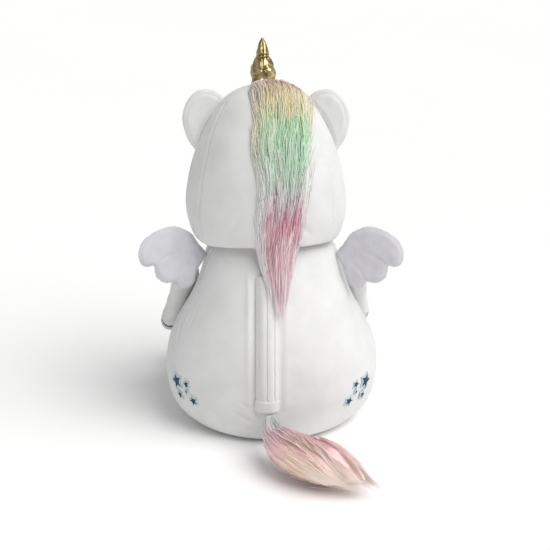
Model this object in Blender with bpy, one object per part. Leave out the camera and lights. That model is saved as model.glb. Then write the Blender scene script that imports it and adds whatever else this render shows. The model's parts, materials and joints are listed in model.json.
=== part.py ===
"""A sitting plush unicorn with a zip down its back, as separate sewn, stuffed and moulded pieces.

The toy faces -Y and sits on z = 0. Its own left side is +X. Lengths are in metres.
"""

import math

import bmesh
import bpy
from mathutils import Vector

MM = 0.001

# Fabric, gaps and seams
SKIN = 2.0 * MM
SEAM_GAP = 0.4 * MM
PIECE_GAP = 0.5 * MM
POD_INSET = 5.5 * MM

TORSO_HALF_WIDTH = 113 * MM
HEAD_HALF_WIDTH = 82.5 * MM

# Torso: height, half width and front depth, and the depth of the back below the zip's arc
TORSO_ROWS = (
    (0, 66, 60, 64),
    (4, 83, 75, 76),
    (14, 98, 86, 84),
    (30, 108, 93),
    (58, 113, 97),
    (85, 109.5, 95),
    (110, 99, 89),
    (135, 85.5, 80),
    (160, 75, 71),
    (180, 69.5, 64),
    (200, 64, 57),
    (215, 56, 49),
)
ARC_FLOOR = 30 * MM

# Zip: the back's profile is an arc, so that the slider can follow it
ZIP_X = 4 * MM
ZIP_RADIUS = 200 * MM
ZIP_CENTRE_Y = -106 * MM
ZIP_CENTRE_Z = 75 * MM
ZIP_BOTTOM_Z = 49 * MM
ZIP_TOP_Z = 175 * MM
ZIP_OPENING = 8.4 * MM
TAPE_WIDTH = 11 * MM
TAPE_THICKNESS = 1.0 * MM
TAPE_GAP = 0.9 * MM
CHAIN_WIDTH = 2.2 * MM
CHAIN_HEIGHT = 2.2 * MM
SLIDER_WIDTH = 6.6 * MM
SLIDER_LENGTH = 11 * MM
SLIDER_HEIGHT = 2.2 * MM
PULL_LENGTH = 17 * MM
PULL_HEEL = 0.5 * MM
PLACKET_WIDTH = 6.5 * MM
PLACKET_HEIGHT = 2.4 * MM
GARAGE_LENGTH = 13 * MM

# Neck: the head turns about this point, on a round gusset
NECK_PIVOT = Vector((0, 0, 130 * MM))
NECK_RADIUS = 95 * MM
GUSSET_REACH = math.radians(32)

# Head: height, half width, front depth, back depth
HEAD_X = 5 * MM
HEAD_ROWS = (
    (190, 60, 50, 48),
    (198, 68.5, 57, 55),
    (206, 75.5, 64, 61),
    (220, 80.5, 69, 66),
    (238, 82.5, 71, 70),
    (262, 79.5, 71, 72),
    (280, 76, 70, 72),
    (296, 70.5, 67, 70),
    (312, 64.5, 62, 65),
    (330, 55, 53, 54),
    (343, 45.5, 44, 45),
    (353, 33, 32, 33),
    (359, 17, 17, 17),
    (360.5, 3, 3, 3),
)
BACK_SEAM = math.radians(55)
FACE_SEAM = math.radians(142)
SIDE_SEAM = math.radians(100)

MUZZLE_SIZE = Vector((46, 34, 27)) * MM
MUZZLE_CENTRE = Vector((0, -76, 228)) * MM

HORN_BASE = Vector((3, -32, 343)) * MM
HORN_TIP = Vector((4, -47, 399)) * MM
# share of the way up, and radius: puffs, drawn in between by the thread
HORN_PROFILE = (
    (0, 14), (0.12, 14), (0.26, 11.5), (0.38, 13), (0.52, 10.8),
    (0.68, 6.2), (0.72, 6.6), (0.86, 4.4), (0.97, 1.6),
)
HORN_TURNS = 2
THREAD_LOW = 0.635
THREAD_HIGH = 0.735
THREAD_RADIUS = 0.7 * MM

MANE_WIDTH = 27 * MM
MANE_THICKNESS = 9 * MM
MANE_END_Z = 148 * MM
MANE_STANDOFF = 10.5 * MM
MANE_LEAN = 8 * MM

EYE_RADIUS = 8.5 * MM
EYE_HEIGHT = 4.5 * MM
EYE_Z = 266 * MM
EYE_ANGLE = math.radians(136)
WASHER_RADIUS = 8 * MM
WASHER_THICKNESS = 0.9 * MM

# along the root and out from it
EAR_OUTLINE = (
    (-30, 0), (-31.5, 7), (-29, 15), (-21, 23), (-9, 26), (3, 24),
    (15, 17), (25, 8), (30, 0), (10, -0.5), (-10, -0.5),
)
EAR_THICKNESS = 9 * MM
EAR_ROOT_Z = 320 * MM

WING_ROOT_Y = 14 * MM
WING_ROOT_Z = 185 * MM
WING_STANDOFF = 2.6 * MM
WING_SWEEP = math.radians(20)
WING_THICKNESS = 8 * MM
WING_SCALE = 1.0
WING_OUTLINE = (
    (0, 0), (5, 13), (14, 26), (30, 34.5), (44, 34), (56, 29.5), (66, 22), (71, 10),
    (69, -2), (63, -6.5), (56, -7.5), (53, -19), (43, -27), (32, -27.5),
    (27, -34), (18, -34.5), (11, -29), (8, -20), (2.5, -9),
)

# side, angle from the back, way that it points: the left arm hangs lower and further out
ARMS = (
    ("left", 1, math.radians(106), Vector((0, -0.4, -0.9))),
    ("right", -1, math.radians(112), Vector((0, -0.6, -0.8))),
)
ARM_Z = 142 * MM
ARM_LENGTH = 68 * MM
ARM_WIDTH = 40 * MM
ARM_THICKNESS = 25 * MM

LEG_RADIUS = 27 * MM
LEG_LENGTH = 30 * MM
LEG_ANGLE = math.radians(147)
LEG_AIM = Vector((0.3, -0.95, 0))
HOOF_DEPTH = 14 * MM

TAIL_ROOT_Z = 33 * MM
TAIL_ROOT_RADIUS = 7 * MM
TAIL_ROOT_LENGTH = 5 * MM
TAIL_PATH = (
    (0, 0, 0), (-4, 10, -9), (-18, 28, -15), (-38, 46, -18), (-62, 62, -20), (-86, 76, -25), (-98, 84, -28),
)
TAIL_SECTIONS = ((8, 8), (16, 12), (24, 15), (27, 14), (24, 12), (15, 7), (6, 4))

STAR_HEIGHT = 0.8 * MM
# size, angle from the back and height of each embroidered star
HIP_STARS = ((9.5, 59, 58), (5, 49.5, 59), (5, 57, 43), (2.8, 50, 50), (6, 45, 42))

COLOURS = {
    "white_plush": (0.86, 0.85, 0.84, 0.95, 0.0),
    "stuffing": (0.80, 0.80, 0.78, 0.95, 0.0),
    "wing_satin": (0.74, 0.72, 0.78, 0.6, 0.0),
    "lining": (0.85, 0.62, 0.68, 0.7, 0.0),
    "gold": (0.62, 0.46, 0.22, 0.3, 0.9),
    "mane_fur": (0.62, 0.78, 0.62, 0.9, 0.0),
    "tail_fur": (0.72, 0.55, 0.58, 0.9, 0.0),
    "star_thread": (0.02, 0.10, 0.17, 0.6, 0.0),
    "zip_nylon": (0.80, 0.80, 0.80, 0.5, 0.0),
    "zip_metal": (0.70, 0.70, 0.70, 0.3, 0.9),
    "eye_plastic": (0.01, 0.01, 0.012, 0.1, 0.0),
    "washer_plastic": (0.75, 0.75, 0.72, 0.5, 0.0),
}


class Form:
    """A rounded body: at each height an ellipse, whose front and back halves have depths of their own."""

    def __init__(self, rows, half_width, centre_x=0.0, back_depth=None):
        stretch = half_width / (max(row[1] for row in rows) * MM)
        self.rows = []
        for z, width, *depths in rows:
            self.rows.append((z * MM, width * stretch * MM, *(depth * MM for depth in depths)))
        if back_depth:
            self.rows = [row if len(row) == 4 else row + (back_depth(row[0]),) for row in self.rows]
        self.centre_x = centre_x
        self.back_depth = back_depth

    def at(self, t):
        """Height, half width, front depth and back depth at t rows from the bottom."""
        last = len(self.rows) - 1
        t = min(max(t, 0.0), float(last))
        i = min(int(t), last - 1)
        part = t - i
        before = self.rows[max(i - 1, 0)]
        start = self.rows[i]
        end = self.rows[i + 1]
        after = self.rows[min(i + 2, last)]
        values = [catmull(*four, part) for four in zip(before, start, end, after)]
        if self.back_depth and values[0] > ARC_FLOOR:
            values[3] = self.back_depth(values[0])
        return values

    def t_at(self, z):
        """The t of a height, by halving."""
        return halve(lambda t: self.at(t)[0] - z, 0.0, len(self.rows) - 1.0)

    def on(self, angle, t):
        """The surface point at an angle from the back (+Y) towards +X."""
        z, width, front, back = self.at(t)
        depth = back if math.cos(angle) > 0 else front
        return Vector((self.centre_x + width * math.sin(angle), depth * math.cos(angle), z))

    def normal(self, angle, t):
        step = 0.01
        top = min(t + step, len(self.rows) - 1.0)
        low = max(t - step, 0.0)
        across = self.on(angle + step, t) - self.on(angle - step, t)
        up = self.on(angle, top) - self.on(angle, low)
        return up.cross(across).normalized()

    def point(self, angle, t, lift=0.0):
        return self.on(angle, t) + self.normal(angle, t) * lift

    def t_at_distance(self, angle, distance, low, high):
        """The t between two where the surface is this far from the neck's pivot."""
        return halve(lambda t: (self.on(angle, t) - NECK_PIVOT).length - distance, low, high)


def catmull(before, start, end, after, part):
    slope_in = (end - before) / 2
    slope_out = (after - start) / 2
    square = part * part
    cube = square * part
    return (
        (2 * cube - 3 * square + 1) * start
        + (cube - 2 * square + part) * slope_in
        + (3 * square - 2 * cube) * end
        + (cube - square) * slope_out
    )


def halve(rising, low, high):
    """Where a rising function crosses nought."""
    for _ in range(40):
        middle = (low + high) / 2
        if rising(middle) < 0:
            low = middle
        else:
            high = middle
    return (low + high) / 2


def smooth_loop(points, steps):
    """A closed curve through the points, with some steps between each two."""
    count = len(points)
    found = []
    for i in range(count):
        four = [points[(i + k) % count] for k in (-1, 0, 1, 2)]
        for step in range(steps):
            found.append(tuple(catmull(*values, step / steps) for values in zip(*four)))
    return found


def smooth_path(points, steps):
    """An open curve through the points."""
    last = len(points) - 1
    found = []
    for i in range(last):
        four = [points[min(max(i + k, 0), last)] for k in (-1, 0, 1, 2)]
        for step in range(steps):
            found.append(tuple(catmull(*values, step / steps) for values in zip(*four)))
    found.append(tuple(points[last]))
    return found


def zip_back(z):
    """Depth of the torso's back at a height, on the zip's arc."""
    return ZIP_CENTRE_Y + math.sqrt(ZIP_RADIUS**2 - (z - ZIP_CENTRE_Z) ** 2)


torso = Form(TORSO_ROWS, TORSO_HALF_WIDTH, back_depth=zip_back)
head = Form(HEAD_ROWS, HEAD_HALF_WIDTH, centre_x=HEAD_X)


def clear_scene():
    for thing in list(bpy.data.objects):
        bpy.data.objects.remove(thing, do_unlink=True)


def make_materials():
    for name, (red, green, blue, roughness, metallic) in COLOURS.items():
        material = bpy.data.materials.new(name)
        material.use_nodes = True
        shader = material.node_tree.nodes["Principled BSDF"]
        shader.inputs["Base Color"].default_value = (red, green, blue, 1.0)
        shader.inputs["Roughness"].default_value = roughness
        shader.inputs["Metallic"].default_value = metallic


def make_empty(name, location):
    """An empty on a joint's axis, which the moving pieces are parented to."""
    empty = bpy.data.objects.new(name, None)
    empty.empty_display_size = 10 * MM
    empty.location = location
    bpy.context.scene.collection.objects.link(empty)
    bpy.context.view_layer.update()
    return empty


def make_object(name, vertices, faces, material, parent=None):
    """One closed mesh with its faces turned outwards."""
    mesh = bpy.data.meshes.new(name)
    mesh.from_pydata([tuple(v) for v in vertices], [], faces)
    work = bmesh.new()
    work.from_mesh(mesh)
    bmesh.ops.recalc_face_normals(work, faces=work.faces)
    work.to_mesh(mesh)
    work.free()
    mesh.shade_smooth()
    mesh.set_sharp_from_angle(angle=math.radians(40))
    mesh.materials.append(bpy.data.materials[material])
    thing = bpy.data.objects.new(name, mesh)
    bpy.context.scene.collection.objects.link(thing)
    if parent:
        thing.parent = parent
        thing.matrix_parent_inverse = parent.matrix_world.inverted()
    return thing


def slab(name, outer, inner, material, parent=None):
    """The solid between two grids of points, closed round its border."""
    rows = len(outer)
    columns = len(outer[0])
    vertices = [point for grid in (outer, inner) for row in grid for point in row]
    below = rows * columns
    faces = []
    for i in range(rows - 1):
        for j in range(columns - 1):
            a = i * columns + j
            square = (a, a + 1, a + columns + 1, a + columns)
            faces.append(square)
            faces.append(tuple(below + k for k in reversed(square)))
    top = (rows - 1) * columns
    border = list(range(columns)) + [i * columns + columns - 1 for i in range(1, rows)]
    border += [top + j for j in range(columns - 2, -1, -1)]
    border += [i * columns for i in range(rows - 2, 0, -1)]
    for a, b in zip(border, border[1:] + border[:1]):
        faces.append((b, a, below + a, below + b))
    return make_object(name, vertices, faces, material, parent)


def ringed(name, rings, start, end, material, parent=None):
    """The solid through closed rings of points, with a point that closes each end."""
    count = len(rings[0])
    vertices = [point for ring in rings for point in ring] + [start, end]
    first = len(vertices) - 2
    final = len(vertices) - 1
    faces = []
    for i in range(len(rings) - 1):
        for j in range(count):
            a = i * count + j
            b = i * count + (j + 1) % count
            faces.append((a, b, b + count, a + count))
    last = (len(rings) - 1) * count
    for j in range(count):
        k = (j + 1) % count
        faces.append((first, k, j))
        faces.append((final, last + j, last + k))
    return make_object(name, vertices, faces, material, parent)


def tube(name, path, sections, side, material, parent=None, columns=20):
    """A solid with rounded ends along a path: each section is its half width along side and half height."""
    points = [Vector(p) for p in path]
    rings = []
    for i, (point, (width, height)) in enumerate(zip(points, sections)):
        ahead = points[min(i + 1, len(points) - 1)] - points[max(i - 1, 0)]
        ahead.normalize()
        across = (side - ahead * side.dot(ahead)).normalized()
        up = ahead.cross(across)
        turns = [2 * math.pi * k / columns for k in range(columns)]
        rings.append([point + across * width * math.cos(a) + up * height * math.sin(a) for a in turns])
    start_way = (points[0] - points[1]).normalized() * min(sections[0]) * 0.25
    end_way = (points[-1] - points[-2]).normalized() * min(sections[-1]) * 0.25
    return ringed(name, rings, points[0] + start_way, points[-1] + end_way, material, parent)


def capsule_run(start, aim, length, half_width, half_height):
    """Path and sections of a rounded bar."""
    path = []
    sections = []
    steps = 6
    near = min(half_width, half_height)
    for base, first in ((0.0, -1.0), (length, 0.0)):
        for k in range(steps + 1):
            turn = math.pi / 2 * (first + k / steps) * 0.96
            path.append(start + aim * (base + near * math.sin(turn)))
            sections.append((half_width * math.cos(turn), half_height * math.cos(turn)))
    return path, sections


def pillow(name, outline, centre, front, back, material, parent=None):
    """A padded flat piece: front and back are its bulges to either side of the outline's plane."""
    middle = Vector(centre)
    edge = [Vector(p) for p in outline]
    rings = []
    for share in (0.35, 0.65, 0.86, 0.97):
        rings.append([middle + (p - middle) * share + front * math.sqrt(1 - share**2) for p in edge])
    rings.append(edge)
    for share in (0.97, 0.86, 0.65, 0.35):
        rings.append([middle + (p - middle) * share + back * math.sqrt(1 - share**2) for p in edge])
    return ringed(name, rings, middle + front, middle + back, material, parent)


def cut(thing, cutter):
    """Takes the cutter out of a piece."""
    modifier = thing.modifiers.new("fit_" + cutter.name, "BOOLEAN")
    modifier.operation = "DIFFERENCE"
    modifier.solver = "EXACT"
    modifier.object = cutter


def hide(thing):
    thing.hide_render = True
    thing.display_type = "WIRE"


def spread(low, high, count):
    return [low + (high - low) * k / (count - 1) for k in range(count)]


def skin_panel(name, form, side, angles, heights, ends, parent=None, opening=None):
    """A sewn panel of skin between two angles, with a seam's gap at each of its upright edges."""
    outer = []
    inner = []
    rows = [("height", z) for z in heights]
    for kind, value in [("end", 0)] * bool(ends[0]) + rows + [("end", 1)] * bool(ends[1]):
        outer_row = []
        inner_row = []
        for share in spread(0.0, 1.0, angles[2]):
            angle = angles[0] + (angles[1] - angles[0]) * share
            t = ends[value](side * angle) if kind == "end" else form.t_at(value)
            height, width = form.at(t)[:2]
            first = SEAM_GAP / 2
            if opening:
                in_opening = opening[0] < height < opening[1]
                first = side * ZIP_X + (ZIP_OPENING / 2 if in_opening else first)
            low = angles[0] + first / width
            high = angles[1] - SEAM_GAP / 2 / width
            angle = side * (low + (high - low) * share)
            outer_row.append(form.point(angle, t))
            inner_row.append(form.point(angle, t, -SKIN))
        outer.append(outer_row)
        inner.append(inner_row)
    return slab(name, outer, inner, "white_plush", parent)


def torso_end(angle):
    """Where the torso's skin stops under the neck gusset."""
    return torso.t_at_distance(angle, NECK_RADIUS - SKIN - PIECE_GAP - MM, torso.t_at(185 * MM), 11.0)


def head_end(angle):
    """Where the head's skin starts above the neck gusset."""
    return head.t_at_distance(angle, NECK_RADIUS + PIECE_GAP + MM, 0.0, 5.0)


def dome(ring, count, way):
    """Rings from a ring to the pole of the sphere round the neck's pivot."""
    found = []
    for k in range(1, count):
        share = k / count
        row = []
        for point in ring:
            arm = point - NECK_PIVOT
            turned = arm.normalized().slerp(way, share)
            row.append(NECK_PIVOT + turned * arm.length)
        found.append(row)
    return found


def build_torso():
    zip_span = (ZIP_BOTTOM_Z - 4 * MM, ZIP_TOP_Z + 3 * MM)
    edges = [zip_span[0] - 0.5 * MM, zip_span[0] + 0.5 * MM, zip_span[1] - 0.5 * MM, zip_span[1] + 0.5 * MM]
    heights = [0.0, 4 * MM, 12 * MM, 24 * MM, 58 * MM, 80 * MM, 102 * MM, 124 * MM, 146 * MM, 168 * MM]
    heights = sorted(heights + edges)
    plain = [0.0, 4 * MM, 12 * MM, 24 * MM, 42 * MM, 62 * MM, 84 * MM, 108 * MM, 132 * MM, 156 * MM, 178 * MM]
    for label, side in (("left", 1), ("right", -1)):
        back = (0.0, SIDE_SEAM, 13)
        skin_panel(f"body_back_{label}", torso, side, back, heights, (None, torso_end), opening=zip_span)
        skin_panel(f"body_front_{label}", torso, side, (SIDE_SEAM, math.pi, 10), plain, (None, torso_end))
    build_seat()
    build_body_pod()


def build_seat():
    turns = [2 * math.pi * k / 40 for k in range(40)]
    inset = SKIN + 2 * SEAM_GAP
    rings = []
    for z in (0.0, SKIN):
        ring = []
        for angle in turns:
            edge = torso.on(angle, 0.0)
            edge -= edge.normalized() * inset
            ring.append(Vector((edge.x, edge.y, z)))
        rings.append(ring)
    ringed("seat_panel", rings, Vector((0, 0, 0)), Vector((0, 0, SKIN)), "white_plush")
    bag_low = SKIN + PIECE_GAP
    bag_high = bag_low + 14 * MM
    rings = []
    for z in spread(bag_low, bag_high, 5):
        t = torso.t_at(z)
        ring = []
        for angle in turns:
            edge = torso.on(angle, t)
            edge -= Vector((edge.x, edge.y, 0)).normalized() * (2.6 * POD_INSET)
            ring.append(Vector((edge.x, edge.y, z)))
        rings.append(ring)
    ringed("seat_bean_bag", rings, Vector((0, 0, bag_low)), Vector((0, 0, bag_high)), "stuffing")


def build_body_pod():
    turns = [2 * math.pi * k / 36 for k in range(36)]
    low = SKIN + 2 * PIECE_GAP + 14 * MM
    rings = []
    for z in (low, 26 * MM, 44 * MM, 66 * MM, 90 * MM, 115 * MM, 140 * MM, 164 * MM, 184 * MM):
        ring = []
        t = torso.t_at(z)
        for angle in turns:
            edge = torso.point(angle, t, -POD_INSET)
            ring.append(Vector((edge.x, edge.y, z)))
        rings.append(ring)
    top = []
    reach = NECK_RADIUS - SKIN - PIECE_GAP - 2 * MM
    for angle in turns:
        edge = rings[-1][len(top)]
        arm = (edge - NECK_PIVOT).normalized()
        length = min(reach, (edge - NECK_PIVOT).length + 3 * MM)
        top.append(NECK_PIVOT + arm.slerp(Vector((0, 0, 1)), 0.2) * length)
    rings.append(top)
    for share in (0.4, 0.6, 0.8):
        row = []
        for point in top:
            arm = point - NECK_PIVOT
            radius = arm.length + (reach - arm.length) * min(1.0, share * 1.5)
            row.append(NECK_PIVOT + arm.normalized().slerp(Vector((0, 0, 1)), share) * radius)
        rings.append(row)
    ringed("body_pod", rings, Vector((0, 0, low)), NECK_PIVOT + Vector((0, 0, reach)), "stuffing")


def zip_place(x, lift, turn):
    """A point across the zip: x from its middle, lift above the skin, turn along its arc."""
    radius = ZIP_RADIUS + lift
    y = ZIP_CENTRE_Y + radius * math.cos(turn)
    z = ZIP_CENTRE_Z + radius * math.sin(turn)
    width = torso.at(torso.t_at(z))[1]
    drop = zip_back(z) * (1 - math.sqrt(1 - ((ZIP_X + x) / width) ** 2))
    return Vector((ZIP_X + x, y - drop, z))


def zip_turn(z):
    return math.asin((z - ZIP_CENTRE_Z) / ZIP_RADIUS)


def zip_strip(name, xs, lifts, turns, material, parent=None):
    """A strip along the zip, with its outer and inner faces at two lifts for each x."""
    outer = [[zip_place(x, high, turn) for x, (low, high) in zip(xs, lifts)] for turn in turns]
    inner = [[zip_place(x, low, turn) for x, (low, high) in zip(xs, lifts)] for turn in turns]
    return slab(name, outer, inner, material, parent)


def build_zip():
    turns = spread(zip_turn(ZIP_BOTTOM_Z), zip_turn(ZIP_TOP_Z), 21)
    teeth = spread(turns[0] + 0.012, turns[-1] - 0.012, 61)
    tape_top = -SKIN - TAPE_GAP
    tape_low = tape_top - TAPE_THICKNESS
    chain_low = tape_top + PIECE_GAP / 2
    chain_top = chain_low + CHAIN_HEIGHT
    lip_low = PIECE_GAP
    for label, side in (("left", 1), ("right", -1)):
        xs = [side * x for x in (0.2 * MM, 0.5 * TAPE_WIDTH, TAPE_WIDTH)]
        zip_strip(f"zip_tape_{label}", xs, [(tape_low, tape_top)] * 3, turns, "zip_nylon")
        outer = []
        inner = []
        for k, turn in enumerate(teeth):
            crest = chain_top - (0.5 * MM if k % 2 else 0.0)
            row = [(0.2 * MM, crest - 0.7 * MM), (0.5 * CHAIN_WIDTH, crest), (CHAIN_WIDTH, crest - 0.7 * MM)]
            outer.append([zip_place(side * x, lift, turn) for x, lift in row])
            inner.append([zip_place(side * x, chain_low, turn) for x, _ in row])
        slab(f"zip_chain_{label}", outer, inner, "zip_nylon")
        start = ZIP_OPENING / 2 + PIECE_GAP
        xs = [side * (start + PLACKET_WIDTH * share) for share in (0.0, 0.2, 0.5, 0.8, 1.0)]
        bulge = (0.45, 0.9, 1.0, 0.8, 0.3)
        lifts = [(lip_low, lip_low + PLACKET_HEIGHT * share) for share in bulge]
        lip_turns = spread(zip_turn(ZIP_BOTTOM_Z + 5 * MM), zip_turn(ZIP_TOP_Z + 3 * MM), 19)
        zip_strip(f"placket_{label}", xs, lifts, lip_turns, "white_plush")
    for name, z in (("zip_stop_bottom", ZIP_BOTTOM_Z + 1.2 * MM), ("zip_stop_top", ZIP_TOP_Z - 1.2 * MM)):
        low = zip_turn(z - 0.9 * MM)
        high = zip_turn(z + 0.9 * MM)
        xs = [-2 * MM, 0.0, 2 * MM]
        lifts = [(chain_top + 0.3 * MM, chain_top + 1.0 * MM)] * 3
        zip_strip(name, xs, lifts, (low, high), "zip_metal")
    return chain_top


def build_slider(chain_top):
    """The slider rests at the bottom of the zip, and its pull tab lies up against the chain."""
    slider_hub = make_empty("slider_hub", (ZIP_X, ZIP_CENTRE_Y, ZIP_CENTRE_Z))
    low = chain_top + 1.3 * MM
    base = zip_turn(ZIP_BOTTOM_Z + 4.5 * MM)
    span = SLIDER_LENGTH / ZIP_RADIUS
    turns = spread(base, base + span, 7)
    waist = (0.62, 0.85, 1.0, 1.0, 0.9, 0.8, 0.6)
    outer = []
    inner = []
    for turn, share in zip(turns, waist):
        half = SLIDER_WIDTH / 2 * share
        xs = (-half, -half * 0.7, 0.0, half * 0.7, half)
        crown = (0.55, 0.9, 1.0, 0.9, 0.55)
        height = SLIDER_HEIGHT * (0.7 + 0.3 * share)
        outer.append([zip_place(x, low + height * rise, turn) for x, rise in zip(xs, crown)])
        inner.append([zip_place(x, low, turn) for x in xs])
    slab("zip_slider", outer, inner, "zip_metal", slider_hub)
    pull_turn = base + span * 0.5
    lift = low + SLIDER_HEIGHT + 0.4 * MM
    pin = zip_place(0.0, lift + 0.5 * MM, pull_turn)
    pull_hub = make_empty("pull_hub", pin)
    pull_turns = spread(pull_turn - PULL_HEEL / ZIP_RADIUS, pull_turn + PULL_LENGTH / ZIP_RADIUS, 8)
    halves = (1.0, 1.2, 1.3, 1.4, 1.5, 1.5, 1.5, 1.0)
    outer = []
    inner = []
    for turn, half in zip(pull_turns, halves):
        outer.append([zip_place(x * half * MM, lift + 1.0 * MM, turn) for x in (-1, 0, 1)])
        inner.append([zip_place(x * half * MM, lift, turn) for x in (-1, 0, 1)])
    slab("zip_pull_tab", outer, inner, "zip_metal", pull_hub)
    return lift + 1.0 * MM


def build_garage(roof):
    """The flat tab that bridges the zip's lower end, with the slider under it."""
    width = ZIP_OPENING / 2 + PIECE_GAP + PLACKET_WIDTH
    low = zip_turn(ZIP_BOTTOM_Z - 5 * MM)
    turns = spread(low, low + GARAGE_LENGTH / ZIP_RADIUS, 7)
    floor = roof + 1.0 * MM
    xs = spread(-width, width, 9)
    lifts = [(floor, floor + 1.2 * MM)] * 9
    zip_strip("zip_garage", xs, lifts, turns, "white_plush")


def build_stars():
    for label, side in (("left", 1), ("right", -1)):
        for number, (size, degrees, height) in enumerate(HIP_STARS, 1):
            angle = math.radians(degrees)
            t = torso.t_at(height * MM)
            up_rate = (torso.on(angle, t + 0.05) - torso.on(angle, t - 0.05)).length / 0.1
            across_rate = (torso.on(angle + 0.05, t) - torso.on(angle - 0.05, t)).length / 0.1
            rings = []
            for lift in (PIECE_GAP, PIECE_GAP + STAR_HEIGHT):
                ring = []
                for k in range(10):
                    reach = size * MM * (1.0 if k % 2 == 0 else 0.45)
                    turn = math.pi * k / 5 + 0.15
                    star_angle = angle + reach * math.sin(turn) / across_rate
                    star_t = t + reach * math.cos(turn) / up_rate
                    ring.append(torso.point(side * star_angle, star_t, lift))
                rings.append(ring)
            ends = [torso.point(side * angle, t, lift) for lift in (PIECE_GAP, PIECE_GAP + STAR_HEIGHT)]
            ringed(f"hip_star_{label}_{number}", rings, ends[0], ends[1], "star_thread")


def build_neck():
    neck_hub = make_empty("neck_hub", NECK_PIVOT)
    grids = []
    for radius in (NECK_RADIUS, NECK_RADIUS - SKIN):
        rings = []
        for polar in spread(GUSSET_REACH / 5, GUSSET_REACH, 5):
            turns = [2 * math.pi * k / 28 for k in range(28)]
            flat = radius * math.sin(polar)
            high = radius * math.cos(polar)
            rings.append([NECK_PIVOT + Vector((flat * math.cos(a), flat * math.sin(a), high)) for a in turns])
        grids.append(rings)
    rings = grids[0] + grids[1][::-1]
    top = NECK_PIVOT + Vector((0, 0, NECK_RADIUS))
    low = NECK_PIVOT + Vector((0, 0, NECK_RADIUS - SKIN))
    ringed("neck_gusset", rings, top, low, "white_plush", neck_hub)


def head_ring(t_of, lift, count):
    turns = [2 * math.pi * k / count for k in range(count)]
    return [head.point(angle, t_of(angle), lift) for angle in turns]


def build_head(hub):
    heights = [z * MM for z in (216, 228, 242, 258, 274, 290, 304, 317, 329, 339, 347, 353.5, 358)]
    for label, side in (("left", 1), ("right", -1)):
        skin_panel(f"head_back_{label}", head, side, (0.0, BACK_SEAM, 8), heights, (head_end, None), hub)
        flank = (BACK_SEAM, FACE_SEAM, 9)
        skin_panel(f"head_side_{label}", head, side, flank, heights, (head_end, None), hub)
    front = (FACE_SEAM, 2 * math.pi - FACE_SEAM, 11)
    skin_panel("face_panel", head, 1, front, heights, (head_end, None), hub)
    rim = []
    reach = NECK_RADIUS + PIECE_GAP + 2 * MM
    for angle in [2 * math.pi * k / 32 for k in range(32)]:
        t = head.t_at_distance(angle, reach + 4 * MM, 0.0, 5.0)
        rim.append(head.point(angle, t, -POD_INSET))
    rings = [rim]
    for z in (222, 238, 256, 274, 292, 307, 320, 332, 342, 348):
        t = head.t_at(z * MM)
        rings.append([head.point(angle, t, -POD_INSET) for angle in [2 * math.pi * k / 32 for k in range(32)]])
    low = NECK_PIVOT + Vector((0, 0, reach + 3 * MM))
    rings = dome(rim, 5, Vector((0, 0, 1)))[::-1] + rings
    for row in rings[:4]:
        for k, point in enumerate(row):
            arm = point - NECK_PIVOT
            row[k] = NECK_PIVOT + arm.normalized() * max(arm.length, reach)
    top = Vector((HEAD_X, 0, 352 * MM))
    ringed("head_pod", rings, low, top, "stuffing", hub)


def head_cutter():
    """The head's outer form, a gap larger, for fitting pieces that sit on it."""
    turns = 48
    rings = []
    for k in range(27):
        t = (len(HEAD_ROWS) - 1) * k / 26
        rings.append(head_ring(lambda angle, t=t: t, PIECE_GAP, turns))
    low = Vector((HEAD_X, 0, 190 * MM))
    top = Vector((HEAD_X, 0, 367 * MM))
    cutter = ringed("head_form_guide", rings, low, top, "stuffing")
    hide(cutter)
    return cutter


def build_muzzle(hub, cutter):
    rings = []
    for polar in spread(math.radians(12), math.radians(168), 13):
        ring = []
        for k in range(28):
            turn = 2 * math.pi * k / 28
            ring.append(Vector((
                HEAD_X + MUZZLE_SIZE.x * math.sin(polar) * math.cos(turn),
                MUZZLE_CENTRE.y + MUZZLE_SIZE.y * math.cos(polar),
                MUZZLE_CENTRE.z + MUZZLE_SIZE.z * math.sin(polar) * math.sin(turn),
            )))
        rings.append(ring)
    start = Vector((HEAD_X, MUZZLE_CENTRE.y + MUZZLE_SIZE.y, MUZZLE_CENTRE.z))
    end = Vector((HEAD_X, MUZZLE_CENTRE.y - MUZZLE_SIZE.y, MUZZLE_CENTRE.z))
    cut(ringed("muzzle", rings, start, end, "white_plush", hub), cutter)


def horn_radius(share):
    """Radius of the horn at a share of its height."""
    for (low, start), (high, end) in zip(HORN_PROFILE, HORN_PROFILE[1:]):
        if share <= high:
            part = (share - low) / (high - low)
            return (start + (end - start) * (3 - 2 * part) * part**2) * MM
    return HORN_PROFILE[-1][1] * MM


def build_horn(hub, cutter):
    base = HORN_BASE + Vector((HEAD_X, 0, 0))
    tip = HORN_TIP + Vector((HEAD_X, 0, 0))
    axis = tip - base
    side = Vector((1, 0, 0))
    front = axis.normalized().cross(side)
    shares = spread(0.0, 0.97, 14)
    turns = [2 * math.pi * k / 20 for k in range(20)]
    rings = []
    for share in shares:
        radius = horn_radius(share)
        middle = base + axis * share
        rings.append([middle + (side * math.cos(a) + front * math.sin(a)) * radius for a in turns])
    cut(ringed("horn_cone", rings, base, tip, "gold", hub), cutter)
    path = []
    steps = 16
    for k in range(HORN_TURNS * steps + 1):
        share = THREAD_LOW + (THREAD_HIGH - THREAD_LOW) * k / (HORN_TURNS * steps)
        turn = 2 * math.pi * k / steps
        reach = horn_radius(share) + THREAD_RADIUS + PIECE_GAP
        path.append(base + axis * share + (side * math.cos(turn) + front * math.sin(turn)) * reach)
    sections = [(THREAD_RADIUS, THREAD_RADIUS)] * len(path)
    tube("horn_thread", path, sections, axis.normalized(), "gold", hub, columns=6)


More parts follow.
